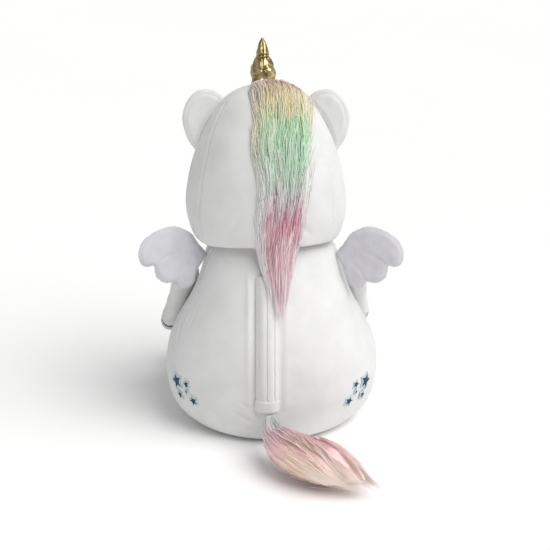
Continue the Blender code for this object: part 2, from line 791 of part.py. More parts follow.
def build_mane(hub, cutter):
    """A lock over the crown and down the back, which hangs clear of the torso below the head."""
    path = [Vector((HEAD_X, -18 * MM, 357 * MM)), Vector((HEAD_X, 2 * MM, 360 * MM))]
    for z in (357, 349, 338, 322, 302, 282, 262, 240, 222):
        path.append(head.point(0.0, head.t_at(z * MM), MM) - Vector((MANE_LEAN, 0, 0)))
    for z in (206, 190, 172, MANE_END_Z / MM):
        back = zip_back(z * MM) + MANE_STANDOFF
        path.append(Vector((HEAD_X - MANE_LEAN, max(back, 62 * MM if z > 195 else back), z * MM)))
    count = len(path)
    sections = []
    for k in range(count):
        share = k / (count - 1)
        width = MANE_WIDTH * min(1.0, 0.55 + 2.5 * share) * (1.0 - 0.72 * max(0.0, share - 0.45) / 0.55)
        height = MANE_THICKNESS * min(1.0, 0.55 + 2.5 * share) * (1.0 - 0.6 * max(0.0, share - 0.55) / 0.45)
        sections.append((width, height))
    mane = tube("mane", path, sections, Vector((1, 0, 0)), "mane_fur", hub)
    cut(mane, cutter)


def circle(middle, across, up, radius, turns):
    return [middle + (across * math.cos(a) + up * math.sin(a)) * radius for a in turns]


def build_eyes(hub):
    for label, side in (("left", 1), ("right", -1)):
        t = head.t_at(EYE_Z)
        angle = side * EYE_ANGLE
        out = head.normal(angle, t)
        across = out.cross(Vector((0, 0, 1))).normalized()
        up = across.cross(out)
        seat = head.point(angle, t, MM)
        turns = [2 * math.pi * k / 24 for k in range(24)]
        rings = []
        for polar in spread(math.pi / 2, math.radians(12), 6):
            reach = EYE_RADIUS * math.sin(polar)
            lift = EYE_HEIGHT * math.cos(polar)
            rings.append(circle(seat + out * lift, across, up, reach, turns))
        ringed(f"eye_{label}", rings, seat, seat + out * EYE_HEIGHT, "eye_plastic", hub)
        inside = head.point(angle, t, -SKIN - 1.0 * MM)
        rings = []
        for lift in (0.0, -WASHER_THICKNESS):
            rings.append(circle(inside + out * lift, across, up, WASHER_RADIUS, turns))
        ringed(f"eye_washer_{label}", rings, inside, inside - out * WASHER_THICKNESS, "washer_plastic", hub)


def build_ears(head_hub):
    t = head.t_at(EAR_ROOT_Z)
    for label, side in (("left", 1), ("right", -1)):
        angle = side * math.pi / 2
        out = head.normal(angle, t)
        out = Vector((out.x, 0, out.z)).normalized()
        along = Vector((side * out.z, 0, -abs(out.x)))
        root = head.point(angle, t, 2 * MM)
        hub = make_empty(f"ear_{label}_hub", root)
        hub.parent = head_hub
        hub.matrix_parent_inverse = head_hub.matrix_world.inverted()
        bpy.context.view_layer.update()
        outline = [root + (along * u + out * v) * MM for u, v in smooth_loop(EAR_OUTLINE, 2)]
        centre = root + (out * 14 - along * 3) * MM
        back_half = [p + Vector((0, 0.2 * MM, 0)) for p in outline]
        front_half = [p - Vector((0, 0.2 * MM, 0)) for p in outline]
        lift = Vector((0, EAR_THICKNESS / 2, 0))
        apart = Vector((0, 0.2 * MM, 0))
        pillow(f"ear_{label}_back", back_half, centre + apart, lift, lift * 0.02, "white_plush", hub)
        pillow(f"ear_{label}_lining", front_half, centre - apart, -lift * 0.7, -lift * 0.02, "lining", hub)


def build_wings():
    outline = smooth_loop(WING_OUTLINE, 2)
    for label, side in (("left", 1), ("right", -1)):
        width, back = torso.at(torso.t_at(WING_ROOT_Z))[1::2]
        edge = width * math.sqrt(1 - (WING_ROOT_Y / back) ** 2) + WING_STANDOFF
        root = Vector((side * edge, WING_ROOT_Y, WING_ROOT_Z))
        hub = make_empty(f"wing_{label}_hub", root)
        out = Vector((side * math.cos(WING_SWEEP), math.sin(WING_SWEEP), 0))
        up = Vector((0, 0, 1))
        points = [root + (out * u + up * v) * WING_SCALE * MM for u, v in outline]
        face = out.cross(up) * WING_THICKNESS / 2
        centre = root + (out * 36 + up * 1) * WING_SCALE * MM
        pillow(f"wing_{label}", points, centre, face, -face, "wing_satin", hub)


def limb(name, start, aim, side_axis, length, half_width, half_height, material, hub):
    """A stuffed limb with its end, as deep as HOOF_DEPTH, made as a separate hoof pad."""
    near = min(half_width, half_height)
    split = length + near - HOOF_DEPTH
    path, sections = capsule_run(start, aim, length, half_width, half_height)
    steps = [(p - start).dot(aim) for p in path]
    limb_rows = [(p, s) for p, s, d in zip(path, sections, steps) if d < split - MM]
    hoof_rows = [(p, s) for p, s, d in zip(path, sections, steps) if d > split + MM]
    end = section_at(steps, sections, split - SEAM_GAP / 2)
    limb_rows.append((start + aim * (split - SEAM_GAP / 2), end))
    hoof_rows.insert(0, (start + aim * (split + SEAM_GAP / 2), end))
    flat_tube(name, limb_rows, aim, side_axis, "white_plush", hub, flat_end=True)
    flat_tube(f"{name}_hoof", hoof_rows, aim, side_axis, material, hub, flat_end=False)


def section_at(steps, sections, place):
    """The section between the two rows that lie round a place."""
    for k in range(len(steps) - 1):
        if steps[k] <= place <= steps[k + 1]:
            share = (place - steps[k]) / (steps[k + 1] - steps[k])
            return tuple(a + (b - a) * share for a, b in zip(sections[k], sections[k + 1]))
    return sections[-1]


def flat_tube(name, rows, aim, side_axis, material, hub, flat_end):
    """A straight bar through the rows, flat at its last row or at its first."""
    across = (side_axis - aim * side_axis.dot(aim)).normalized()
    up = aim.cross(across)
    turns = [2 * math.pi * k / 20 for k in range(20)]
    rings = []
    for point, (width, height) in rows:
        rings.append([point + across * width * math.cos(a) + up * height * math.sin(a) for a in turns])
    bulge = aim * 0.3 * MM
    start = rows[0][0] - (bulge if flat_end else Vector((0, 0, 0)))
    end = rows[-1][0] + (Vector((0, 0, 0)) if flat_end else bulge)
    ringed(name, rings, start, end, material, hub)


def build_arms():
    t = torso.t_at(ARM_Z)
    for label, side, angle, way in ARMS:
        out = torso.normal(side * angle, t)
        aim = (way - out * way.dot(out)).normalized()
        start = torso.point(side * angle, t, ARM_THICKNESS / 2 + 2 * PIECE_GAP)
        hub = make_empty(f"arm_{label}_hub", start)
        half_width, half_height = ARM_WIDTH / 2, ARM_THICKNESS / 2
        limb(f"arm_{label}", start, aim, aim.cross(out), ARM_LENGTH, half_width, half_height, "wing_satin", hub)


def build_legs():
    for label, side in (("left", 1), ("right", -1)):
        t = torso.t_at(LEG_RADIUS + PIECE_GAP)
        angle = side * LEG_ANGLE
        edge = torso.normal(angle, t)
        edge.z = 0.0
        start = torso.point(angle, t) + edge.normalized() * (LEG_RADIUS + 4 * PIECE_GAP)
        hub = make_empty(f"leg_{label}_hub", start)
        aim = Vector((side * LEG_AIM.x, LEG_AIM.y, 0)).normalized()
        limb(f"leg_{label}", start, aim, Vector((1, 0, 0)), LEG_LENGTH, LEG_RADIUS, LEG_RADIUS, "lining", hub)


def build_tail():
    back = torso.on(0.0, torso.t_at(TAIL_ROOT_Z)).y
    root = Vector((0, back + TAIL_ROOT_RADIUS + 2 * PIECE_GAP, TAIL_ROOT_Z))
    swing_hub = make_empty("tail_swing_hub", root)
    path, sections = capsule_run(root, Vector((0, 1, 0)), TAIL_ROOT_LENGTH, TAIL_ROOT_RADIUS, TAIL_ROOT_RADIUS)
    tube("tail_root", path, sections, Vector((1, 0, 0)), "tail_fur", swing_hub, columns=16)
    lift = root + Vector((0, TAIL_ROOT_LENGTH + TAIL_ROOT_RADIUS + 9 * MM, 0))
    lift_hub = make_empty("tail_lift_hub", lift)
    lift_hub.parent = swing_hub
    lift_hub.matrix_parent_inverse = swing_hub.matrix_world.inverted()
    bpy.context.view_layer.update()
    rows = [tuple(v) + size for v, size in zip(TAIL_PATH, TAIL_SECTIONS)]
    path = []
    sections = []
    for x, y, z, width, height in smooth_path(rows, 3):
        point = lift + Vector((x, y, z)) * MM
        point.z = max(point.z, height * MM + 0.6 * MM)
        path.append(point)
        sections.append((width * MM, height * MM))
    tube("tail_hair", path, sections, Vector((1, 0, 0)), "tail_fur", lift_hub, columns=18)


def main():
    clear_scene()
    make_materials()
    build_torso()
    chain_top = build_zip()
    roof = build_slider(chain_top)
    build_garage(roof)
    build_stars()
    build_neck()
    head_hub = make_empty("head_hub", NECK_PIVOT)
    build_head(head_hub)
    cutter = head_cutter()
    build_muzzle(head_hub, cutter)
    build_horn(head_hub, cutter)
    build_mane(head_hub, cutter)
    build_eyes(head_hub)
    build_ears(head_hub)
    build_wings()
    build_arms()
    build_legs()
    build_tail()


main()
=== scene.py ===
"""The looks of a sitting plush unicorn: skins, zip, wings, horn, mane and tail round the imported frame.

Lengths are in metres. The toy faces -Y, its own left side is +X, and it sits on z = 0. Angles round the
body are measured from its back (+Y) towards +X.
"""

import json
import logging
import math
from dataclasses import dataclass, field
from enum import Enum

import bmesh
import bpy
import numpy as np
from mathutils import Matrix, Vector

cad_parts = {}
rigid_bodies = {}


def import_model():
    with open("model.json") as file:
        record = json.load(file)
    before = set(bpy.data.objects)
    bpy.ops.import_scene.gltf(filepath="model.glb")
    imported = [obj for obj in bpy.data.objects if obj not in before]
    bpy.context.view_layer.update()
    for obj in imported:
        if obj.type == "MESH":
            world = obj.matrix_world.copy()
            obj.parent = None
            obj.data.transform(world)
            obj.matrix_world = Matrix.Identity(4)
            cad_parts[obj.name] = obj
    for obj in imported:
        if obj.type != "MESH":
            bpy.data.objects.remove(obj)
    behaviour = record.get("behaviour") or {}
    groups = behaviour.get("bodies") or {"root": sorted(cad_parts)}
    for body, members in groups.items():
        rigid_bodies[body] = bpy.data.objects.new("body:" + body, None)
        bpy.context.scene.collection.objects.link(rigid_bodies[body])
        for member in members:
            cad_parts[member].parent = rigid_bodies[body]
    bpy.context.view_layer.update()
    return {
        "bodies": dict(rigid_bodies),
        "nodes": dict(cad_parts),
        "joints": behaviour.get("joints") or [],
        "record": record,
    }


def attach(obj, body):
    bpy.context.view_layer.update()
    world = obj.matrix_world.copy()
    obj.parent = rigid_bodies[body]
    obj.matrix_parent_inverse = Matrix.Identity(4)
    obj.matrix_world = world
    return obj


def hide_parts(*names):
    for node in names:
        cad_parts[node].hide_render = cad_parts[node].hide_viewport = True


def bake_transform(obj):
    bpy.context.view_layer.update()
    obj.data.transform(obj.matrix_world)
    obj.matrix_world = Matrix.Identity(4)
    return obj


MM = 0.001
TURN = 2.0 * math.pi
Array = np.ndarray
Colour = tuple[float, float, float]
Bands = tuple[tuple[float, Colour], ...]
Tree = bpy.types.NodeTree
Socket = bpy.types.NodeSocket
Thing = bpy.types.Object

log = logging.getLogger("unicorn")

# Shared sizes, in millimetres: they repeat the frame's own
ZIP_X, ZIP_RADIUS, ZIP_CENTRE_Y, ZIP_CENTRE_Z = 4.0, 200.0, -106.0, 75.0
ZIP_BOTTOM_Z, ZIP_TOP_Z = 49.0, 175.0
NECK_Z, NECK_RADIUS = 130.0, 95.0
HEAD_X = 5.0
TORSO_ROWS = (
    (0, 66, 60, 64), (4, 83, 75, 76), (14, 98, 86, 84), (30, 108, 93), (58, 113, 97), (85, 109.5, 95),
    (110, 99, 89), (135, 85.5, 80), (160, 75, 71), (180, 69.5, 64), (200, 64, 57), (215, 56, 49),
)
ARC_FLOOR = 30.0
HEAD_ROWS = (
    (190, 60, 50, 48), (198, 68.5, 57, 55), (206, 75.5, 64, 61), (220, 80.5, 69, 66),
    (238, 82.5, 71, 70), (262, 79.5, 71, 72), (280, 76, 70, 72), (296, 70.5, 67, 70),
    (312, 64.5, 62, 65), (330, 55, 53, 54), (343, 45.5, 44, 45), (353, 33, 32, 33),
    (359, 17, 17, 17), (360.5, 3, 3, 3),
)


def srgb(red: float, green: float, blue: float) -> Colour:
    """A linear colour from the usual 0 to 255 values.

    Args:
        red, green, blue: display values from 0 to 255.

    Returns:
        The linear colour that a shader takes.
    """
    values = [value / 255.0 for value in (red, green, blue)]
    linear = [v / 12.92 if v <= 0.04045 else ((v + 0.055) / 1.055) ** 2.4 for v in values]
    return (linear[0], linear[1], linear[2])


# --------------------------------------------------------------------------- finishes


class Surface(Enum):
    """How the fine structure of a finish is made."""

    PILE = "short cut pile"
    SATIN = "smooth satin"
    FOIL = "crinkled metallic cloth"
    HAIR = "long dyed fur"
    THREAD = "satin stitch"
    WEAVE = "woven tape"
    METAL = "plated metal"
    GLOSS = "moulded plastic"
    FLOOR = "studio floor"


@dataclass(frozen=True)
class Finish:
    """One material: its two tones, gloss, and the scale and depth of its fine structure.

    Bands are the dyed colours along the fur, and edge_bands the paler ones at its sides. For fur, dark and
    light also span painted shade on the deeper strands.
    """

    name: str
    surface: Surface
    light: Colour
    dark: Colour
    roughness: float
    sheen: float = 0.0
    metallic: float = 0.0
    fine: float = 1400.0
    broad: float = 45.0
    depth: float = 0.25
    coat: float = 0.0
    bands: Bands = ()
    edge_bands: Bands = ()

    def make(self) -> bpy.types.Material:
        """Builds the material once, or finds it again.

        Returns:
            The material.
        """
        known = bpy.data.materials.get(self.name)
        if known:
            return known
        material = bpy.data.materials.new(self.name)
        material.use_nodes = True
        tree = material.node_tree
        shader = tree.nodes["Principled BSDF"]
        shader.inputs["Roughness"].default_value = self.roughness
        shader.inputs["Metallic"].default_value = self.metallic
        shader.inputs["Sheen Weight"].default_value = self.sheen
        shader.inputs["Sheen Roughness"].default_value = 0.45
        shader.inputs["Coat Weight"].default_value = self.coat
        shader.inputs["Coat Roughness"].default_value = 0.15
        if self.surface in (Surface.PILE, Surface.HAIR):
            shader.inputs["Specular IOR Level"].default_value = 0.15
        place = tree.nodes.new("ShaderNodeTexCoord").outputs["Object"]
        self.colour(tree, shader, place)
        self.relief(tree, shader, place)
        return material

    def colour(self, tree: Tree, shader: bpy.types.Node, place: Socket) -> None:
        """Two tones that drift over the surface, or the fur's dyed bands times a tone value that holds a
        random tone per lock and painted shade on deeper strands.

        Args:
            tree: the material's nodes.
            shader: the main shader.
            place: the coordinates to draw on.
        """
        drift = noise(tree, place, self.broad, 3.0)
        tones = ramp(tree, drift, ((0.32, self.dark), (0.62, self.light)))
        if not self.bands:
            tree.links.new(tones, shader.inputs["Base Color"])
            return
        along = attribute(tree, "along")
        dyed = ramp(tree, along, self.bands)
        pale = ramp(tree, along, self.edge_bands)
        both = mix(tree, attribute(tree, "side"), dyed, pale, "MIX")
        # Multiplied onto the dyed colour: a random tone per lock, and painted shade that darkens strands
        # lying deeper in the fur and nearer their roots.
        tone_and_depth_shade = attribute(tree, "tone_and_depth_shade")
        shade = ramp(tree, tone_and_depth_shade, ((0.0, self.dark), (1.0, self.light)))
        final = mix(tree, 1.0, both, shade, "MULTIPLY")
        tree.links.new(final, shader.inputs["Base Color"])

    def relief(self, tree: Tree, shader: bpy.types.Node, place: Socket) -> None:
        """The fine structure, as bump and a little change of gloss.

        Args:
            tree: the material's nodes.
            shader: the main shader.
            place: the coordinates to draw on.
        """
        fine = noise(tree, place, self.fine, 2.0)
        height = fine
        if self.surface in (Surface.WEAVE, Surface.THREAD):
            warp = wave(tree, place, self.fine, "X")
            weft = wave(tree, place, self.fine, "Z")
            height = mix(tree, 0.5, warp, weft, "MIX") if self.surface is Surface.WEAVE else warp
        if self.surface is Surface.FOIL:
            creases = tree.nodes.new("ShaderNodeTexVoronoi")
            creases.feature = "DISTANCE_TO_EDGE"
            creases.inputs["Scale"].default_value = self.fine
            tree.links.new(place, creases.inputs["Vector"])
            height = mix(tree, 0.35, creases.outputs["Distance"], fine, "MIX")
        if self.surface is Surface.SATIN:
            height = mix(tree, 0.6, fine, wave(tree, place, self.fine * 0.7, "Z"), "MIX")
        bump = tree.nodes.new("ShaderNodeBump")
        bump.inputs["Strength"].default_value = 0.6
        bump.inputs["Distance"].default_value = self.depth * MM
        tree.links.new(height, bump.inputs["Height"])
        tree.links.new(bump.outputs["Normal"], shader.inputs["Normal"])
        rough = tree.nodes.new("ShaderNodeMapRange")
        rough.inputs["To Min"].default_value = max(0.02, self.roughness - 0.08)
        rough.inputs["To Max"].default_value = min(1.0, self.roughness + 0.06)
        tree.links.new(fine, rough.inputs["Value"])
        tree.links.new(rough.outputs["Result"], shader.inputs["Roughness"])


def noise(tree: Tree, place: Socket, scale: float, detail: float) -> Socket:
    """A noise texture.

    Args:
        tree: the material's nodes.
        place: the coordinates.
        scale: features per metre.
        detail: how many finer layers it has.

    Returns:
        Its value.
    """
    node = tree.nodes.new("ShaderNodeTexNoise")
    node.inputs["Scale"].default_value = scale
    node.inputs["Detail"].default_value = detail
    tree.links.new(place, node.inputs["Vector"])
    return node.outputs["Fac"]


def wave(tree: Tree, place: Socket, scale: float, way: str) -> Socket:
    """Parallel threads.

    Args:
        tree: the material's nodes.
        place: the coordinates.
        scale: threads per metre, about.
        way: the axis that the threads are counted along.

    Returns:
        Their height.
    """
    node = tree.nodes.new("ShaderNodeTexWave")
    node.bands_direction = way
    node.inputs["Scale"].default_value = scale
    node.inputs["Distortion"].default_value = 1.5
    tree.links.new(place, node.inputs["Vector"])
    return node.outputs["Fac"]


def attribute(tree: Tree, name: str) -> Socket:
    """A value that the mesh holds at each point.

    Args:
        tree: the material's nodes.
        name: the attribute's name.

    Returns:
        Its value.
    """
    node = tree.nodes.new("ShaderNodeAttribute")
    node.attribute_name = name
    return node.outputs["Fac"]


def ramp(tree: Tree, value: Socket, stops: Bands) -> Socket:
    """Colours along a value.

    Args:
        tree: the material's nodes.
        value: what the colours follow.
        stops: pairs of place and colour.

    Returns:
        The colour.
    """
    node = tree.nodes.new("ShaderNodeValToRGB")
    elements = node.color_ramp.elements
    while len(elements) < len(stops):
        elements.new(1.0)
    for element, (place, colour) in zip(elements, stops):
        element.position = place
        element.color = (*colour, 1.0)
    tree.links.new(value, node.inputs["Fac"])
    return node.outputs["Color"]


def mix(
    tree: Tree,
    share: Socket | float,
    first: Socket,
    second: Socket,
    way: str,
) -> Socket:
    """Two colours or heights as one.

    Args:
        tree: the material's nodes.
        share: how much of the second.
        first: the first colour.
        second: the second colour.
        way: the blend type.

    Returns:
        The mixed colour.
    """
    node = tree.nodes.new("ShaderNodeMix")
    node.data_type = "RGBA"
    node.blend_type = way
    if isinstance(share, float):
        node.inputs[0].default_value = share
    else:
        tree.links.new(share, node.inputs[0])
    tree.links.new(first, node.inputs[6])
    tree.links.new(second, node.inputs[7])
    return node.outputs[2]


MANE_BANDS: Bands = (
    (0.0, srgb(236, 210, 214)), (0.07, srgb(242, 218, 210)), (0.14, srgb(246, 230, 192)),
    (0.21, srgb(242, 236, 196)), (0.27, srgb(196, 232, 196)), (0.39, srgb(204, 232, 208)),
    (0.46, srgb(216, 228, 218)), (0.52, srgb(230, 216, 218)), (0.59, srgb(230, 162, 180)),
    (0.67, srgb(240, 200, 208)), (1.0, srgb(250, 236, 238)),
)
MANE_EDGES: Bands = (
    (0.0, srgb(242, 226, 230)), (0.13, srgb(246, 234, 226)), (0.26, srgb(246, 246, 218)),
    (0.42, srgb(246, 248, 240)), (0.6, srgb(250, 248, 248)), (0.8, srgb(252, 244, 246)),
    (1.0, srgb(255, 252, 252)),
)
TAIL_BANDS: Bands = (
    (0.0, srgb(204, 212, 206)), (0.14, srgb(202, 210, 206)), (0.22, srgb(236, 204, 216)),
    (0.4, srgb(252, 212, 218)), (0.55, srgb(226, 162, 178)), (0.7, srgb(250, 212, 212)),
    (1.0, srgb(252, 240, 232)),
)
TAIL_EDGES: Bands = (
    (0.0, srgb(208, 216, 210)), (0.16, srgb(240, 212, 222)), (0.34, srgb(252, 222, 220)),
    (0.52, srgb(252, 232, 212)), (0.75, srgb(252, 240, 228)), (1.0, srgb(255, 250, 244)),
)
WHITE_PLUSH = Finish(
    "white_plush_looks", Surface.PILE, srgb(227, 227, 227), srgb(221, 221, 220), 0.95,
    sheen=0.08, fine=1500.0, broad=38.0, depth=0.3,
)
WING_CLOTH = Finish(
    "wing_satin_looks", Surface.SATIN, srgb(217, 216, 221), srgb(208, 207, 214), 0.7,
    sheen=0.05, fine=1900.0, broad=60.0, depth=0.15,
)
PINK_LINING = Finish(
    "lining_looks", Surface.SATIN, srgb(232, 182, 194), srgb(220, 162, 178), 0.6,
    sheen=0.2, fine=1700.0, broad=70.0, depth=0.18,
)
GOLD_CLOTH = Finish(
    "gold_looks", Surface.FOIL, srgb(206, 186, 138), srgb(112, 94, 56), 0.3,
    metallic=0.95, fine=190.0, broad=120.0, depth=1.0,
)
GOLD_THREAD = Finish(
    "gold_thread_looks", Surface.THREAD, srgb(168, 146, 92), srgb(98, 80, 44), 0.35,
    metallic=0.9, fine=1600.0, broad=300.0, depth=0.3,
)
MANE_FUR = Finish(
    "mane_fur_looks", Surface.HAIR, srgb(255, 255, 255), srgb(238, 235, 235), 0.6,
    sheen=0.1, fine=2500.0, depth=0.03, bands=MANE_BANDS, edge_bands=MANE_EDGES,
)
TAIL_FUR = Finish(
    "tail_fur_looks", Surface.HAIR, srgb(255, 255, 255), srgb(236, 230, 232), 0.6,
    sheen=0.1, fine=2500.0, depth=0.03, bands=TAIL_BANDS, edge_bands=TAIL_EDGES,
)
STAR_THREAD = Finish(
    "star_thread_looks", Surface.THREAD, srgb(2, 78, 116), srgb(0, 52, 84), 0.6,
    sheen=0.0, fine=1500.0, broad=500.0, depth=0.4,
)
PALE_THREAD = Finish(
    "star_outline_looks", Surface.THREAD, srgb(222, 236, 241), srgb(206, 226, 234), 0.6,
    sheen=0.2, fine=1500.0, broad=500.0, depth=0.3,
)
FACE_THREAD = Finish(
    "face_thread_looks", Surface.THREAD, srgb(206, 130, 146), srgb(182, 104, 122), 0.5,
    fine=1500.0, broad=500.0, depth=0.3,
)
SEAM_THREAD = Finish(
    "seam_thread_looks", Surface.THREAD, srgb(226, 226, 226), srgb(206, 206, 206), 0.6,
    fine=1500.0, broad=500.0, depth=0.2,
)
ZIP_TAPE = Finish(
    "zip_tape_looks", Surface.WEAVE, srgb(214, 214, 214), srgb(196, 196, 196), 0.7,
    fine=900.0, broad=200.0, depth=0.3,
)
ZIP_COIL = Finish(
    "zip_coil_looks", Surface.GLOSS, srgb(206, 206, 206), srgb(184, 184, 184), 0.35,
    fine=2000.0, broad=300.0, depth=0.05,
)
ZIP_METAL = Finish(
    "zip_metal_looks", Surface.METAL, srgb(206, 206, 208), srgb(160, 160, 164), 0.28,
    metallic=0.95, fine=1800.0, broad=400.0, depth=0.04,
)
EYE_PLASTIC = Finish(
    "eye_looks", Surface.GLOSS, srgb(26, 24, 26), srgb(14, 13, 15), 0.08,
    fine=900.0, broad=200.0, depth=0.01, coat=0.6,
)
WASHER_PLASTIC = Finish(
    "washer_looks", Surface.GLOSS, srgb(214, 212, 204), srgb(196, 194, 188), 0.45,
    fine=900.0, broad=200.0, depth=0.05,
)
STUFFING = Finish(
    "stuffing_looks", Surface.PILE, srgb(236, 236, 232), srgb(214, 214, 210), 0.95,
    fine=300.0, broad=60.0, depth=1.5,
)
FLOOR = Finish(
    "floor_looks", Surface.FLOOR, srgb(255, 255, 255), srgb(254, 254, 254), 0.9,
    fine=20.0, broad=2.0, depth=0.02,
)


# --------------------------------------------------------------------------- forms


@dataclass(frozen=True)
class Form:
    """A rounded body whose level sections are two half ellipses, front and back."""

    rows: tuple[tuple[float, ...], ...]
    centre_x: float = 0.0
    zip_arc: bool = False

    def table(self) -> Array:
        """The rows in metres, each with its back depth."""
        full = [row if len(row) == 4 else (*row, float(zip_back(np.array(row[0])))) for row in self.rows]
        return np.array(full) * MM

    def last(self) -> float:
        """The highest t."""
        return len(self.rows) - 1.0

    def at(self, t: Array) -> Array:
        """Height, half width, front depth and back depth.

        Args:
            t: places counted in rows from the bottom.

        Returns:
            An array with the four values last.
        """
        table = self.table()
        last = len(table) - 1
        t = np.clip(t, 0.0, float(last))
        i = np.minimum(t.astype(int), last - 1)
        part = (t - i)[..., None]
        before, start = table[np.maximum(i - 1, 0)], table[i]
        end, after = table[i + 1], table[np.minimum(i + 2, last)]
        values = catmull(before, start, end, after, part)
        if self.zip_arc:
            depth = zip_back(values[..., 0] / MM) * MM
            values[..., 3] = np.where(values[..., 0] > ARC_FLOOR * MM, depth, values[..., 3])
        return values

    def t_at(self, z: Array | float) -> Array:
        """The t of a height in millimetres."""
        steps = np.linspace(0.0, self.last(), 3000)
        return np.interp(np.asarray(z) * MM, self.at(steps)[..., 0], steps)

    def on(self, angle: Array, t: Array) -> Array:
        """Points of the surface.

        Args:
            angle: angles from the back.
            t: places counted in rows.

        Returns:
            The points, with x, y and z last.
        """
        values = self.at(t)
        depth = np.where(np.cos(angle) > 0, values[..., 3], values[..., 2])
        x = self.centre_x * MM + values[..., 1] * np.sin(angle)
        return np.stack([x, depth * np.cos(angle), values[..., 0] + 0 * angle], -1)

    def normal(self, angle: Array, t: Array) -> Array:
        """Outward directions of the surface."""
        step = 0.01
        high = np.minimum(t + step, self.last())
        low = np.maximum(t - step, 0.0)
        across = self.on(angle + step, t) - self.on(angle - step, t)
        up = self.on(angle, high) - self.on(angle, low)
        return unit(np.cross(up, across))

    def point(self, angle: Array | float, t: Array | float, lift: Array | float = 0.0) -> Array:
        """Points at a height over the surface, which is in metres."""
        angle, t = np.broadcast_arrays(np.asarray(angle, float), np.asarray(t, float))
        return self.on(angle, t) + self.normal(angle, t) * np.asarray(lift)[..., None]

    def t_at_distance(self, angle: Array, distance: float, low: float, high: float) -> Array:
        """The t at which the surface is this far, in millimetres, from the neck's pivot.

        Args:
            angle: angles from the back.
            distance: the distance.
            low, high: the t values to look between.

        Returns:
            A t for each angle.
        """
        pivot = np.array((0.0, 0.0, NECK_Z * MM))
        steps = np.linspace(low, high, 500)
        found = np.empty(len(angle))
        for k, one in enumerate(angle):
            reach = np.linalg.norm(self.on(np.full(500, one), steps) - pivot, axis=1)
            found[k] = np.interp(distance * MM, reach, steps)
        return found


def catmull(before: Array, start: Array, end: Array, after: Array, part: Array) -> Array:
    """A smooth curve's values at a share of the way from start to end."""
    slope_in, slope_out = (end - before) / 2, (after - start) / 2
    square, cube = part**2, part**3
    return (
        (2 * cube - 3 * square + 1) * start + (cube - 2 * square + part) * slope_in
        + (3 * square - 2 * cube) * end + (cube - square) * slope_out
    )


def zip_back(z: Array) -> Array:
    """Depth of the torso's back at a height, in millimetres, on the zip's arc."""
    return ZIP_CENTRE_Y + np.sqrt(np.maximum(ZIP_RADIUS**2 - (z - ZIP_CENTRE_Z) ** 2, 0.0))


def unit(vectors: Array) -> Array:
    """The vectors, each one metre long."""
    return vectors / np.maximum(np.linalg.norm(vectors, axis=-1, keepdims=True), 1e-12)


def smooth_line(points: Array, count: int, closed: bool = False) -> Array:
    """A smooth curve through points, with its own points evenly spaced.

    Args:
        points: the points.
        count: how many points it gets.
        closed: whether it comes back to its start.

    Returns:
        The curve's points.
    """
    points = np.asarray(points, float)
    number = len(points)
    spans = number if closed else number - 1
    found = []
    for i in range(spans):
        where = [(i + k) % number if closed else min(max(i + k, 0), number - 1) for k in (-1, 0, 1, 2)]
        part = np.linspace(0, 1, 24, endpoint=False)[:, None]
        found.append(catmull(*(points[w] for w in where), part))
    found.append(points[:1] if closed else points[-1:])
    line = np.concatenate(found)
    reach = np.concatenate([[0.0], np.cumsum(np.linalg.norm(np.diff(line, axis=0), axis=1))])
    even = np.linspace(0, reach[-1], count + 1 if closed else count)
    line = np.stack([np.interp(even, reach, line[:, k]) for k in range(line.shape[1])], -1)
    return line[:-1] if closed else line


def bump(distance: Array, depth: float, width: float) -> Array:
    """A sewn groove's height over distance: a valley between two soft shoulders."""
    valley = np.exp(-((distance / width) ** 2))
    shoulder = np.exp(-(((np.abs(distance) - 2.4 * width) / (1.3 * width)) ** 2))
    return depth * (0.3 * shoulder - valley)


def ripple(points: Array, scale: float, seed: int, waves: int = 14) -> Array:
    """Soft random unevenness, between about -1 and 1.

    Args:
        points: where.
        scale: the size of its features, in metres.
        seed: which of its patterns.
        waves: how many plane waves it sums.

    Returns:
        One height per point.
    """
    draw = np.random.default_rng(seed)
    ways = unit(draw.normal(size=(waves, 3))) * draw.uniform(0.6, 1.6, (waves, 1)) * TURN / scale
    phases = draw.uniform(0, TURN, waves)
    return np.sin(points @ ways.T + phases).sum(-1) / math.sqrt(waves / 2) * 0.5


def line_distance(places: Array, line: Array) -> tuple[Array, Array]:
    """How far flat places are from a polyline.

    Args:
        places: the places, with their two values last.
        line: the polyline's corners.

    Returns:
        The distances, and how far along the polyline each nearest point is, from 0 to 1.
    """
    best = np.full(places.shape[:-1], np.inf)
    where = np.zeros(places.shape[:-1])
    spans = len(line) - 1
    for k in range(spans):
        start, way = line[k], line[k + 1] - line[k]
        share = np.clip(((places - start) @ way) / max(way @ way, 1e-12), 0, 1)
        gap = np.linalg.norm(places - start - share[..., None] * way, axis=-1)
        nearer = gap < best
        best = np.where(nearer, gap, best)
        where = np.where(nearer, (k + share) / spans, where)
    return best, where


# --------------------------------------------------------------------------- meshes


def grid_faces(rows: int, columns: int, wrap: bool) -> Array:
    """The squares of a grid of points.

    Args:
        rows: how many rows it has.
        columns: how many points are in each.
        wrap: whether each row closes on itself.

    Returns:
        Four point numbers for each square.
    """
    i = np.arange(rows - 1)[:, None]
    j = np.arange(columns if wrap else columns - 1)[None, :]
    a = i * columns + j
    b = i * columns + (j + 1) % columns
    return np.stack([a, b, b + columns, a + columns], -1).reshape(-1, 4)


def fans(rows: int, columns: int) -> Array:
    """The triangles that close a wrapped grid's two ends through two more points."""
    j = np.arange(columns)
    k = (j + 1) % columns
    total = rows * columns
    top = (rows - 1) * columns
    low = np.stack([np.full(columns, total), k, j], -1)
    high = np.stack([np.full(columns, total + 1), top + j, top + k], -1)
    return np.concatenate([low, high])


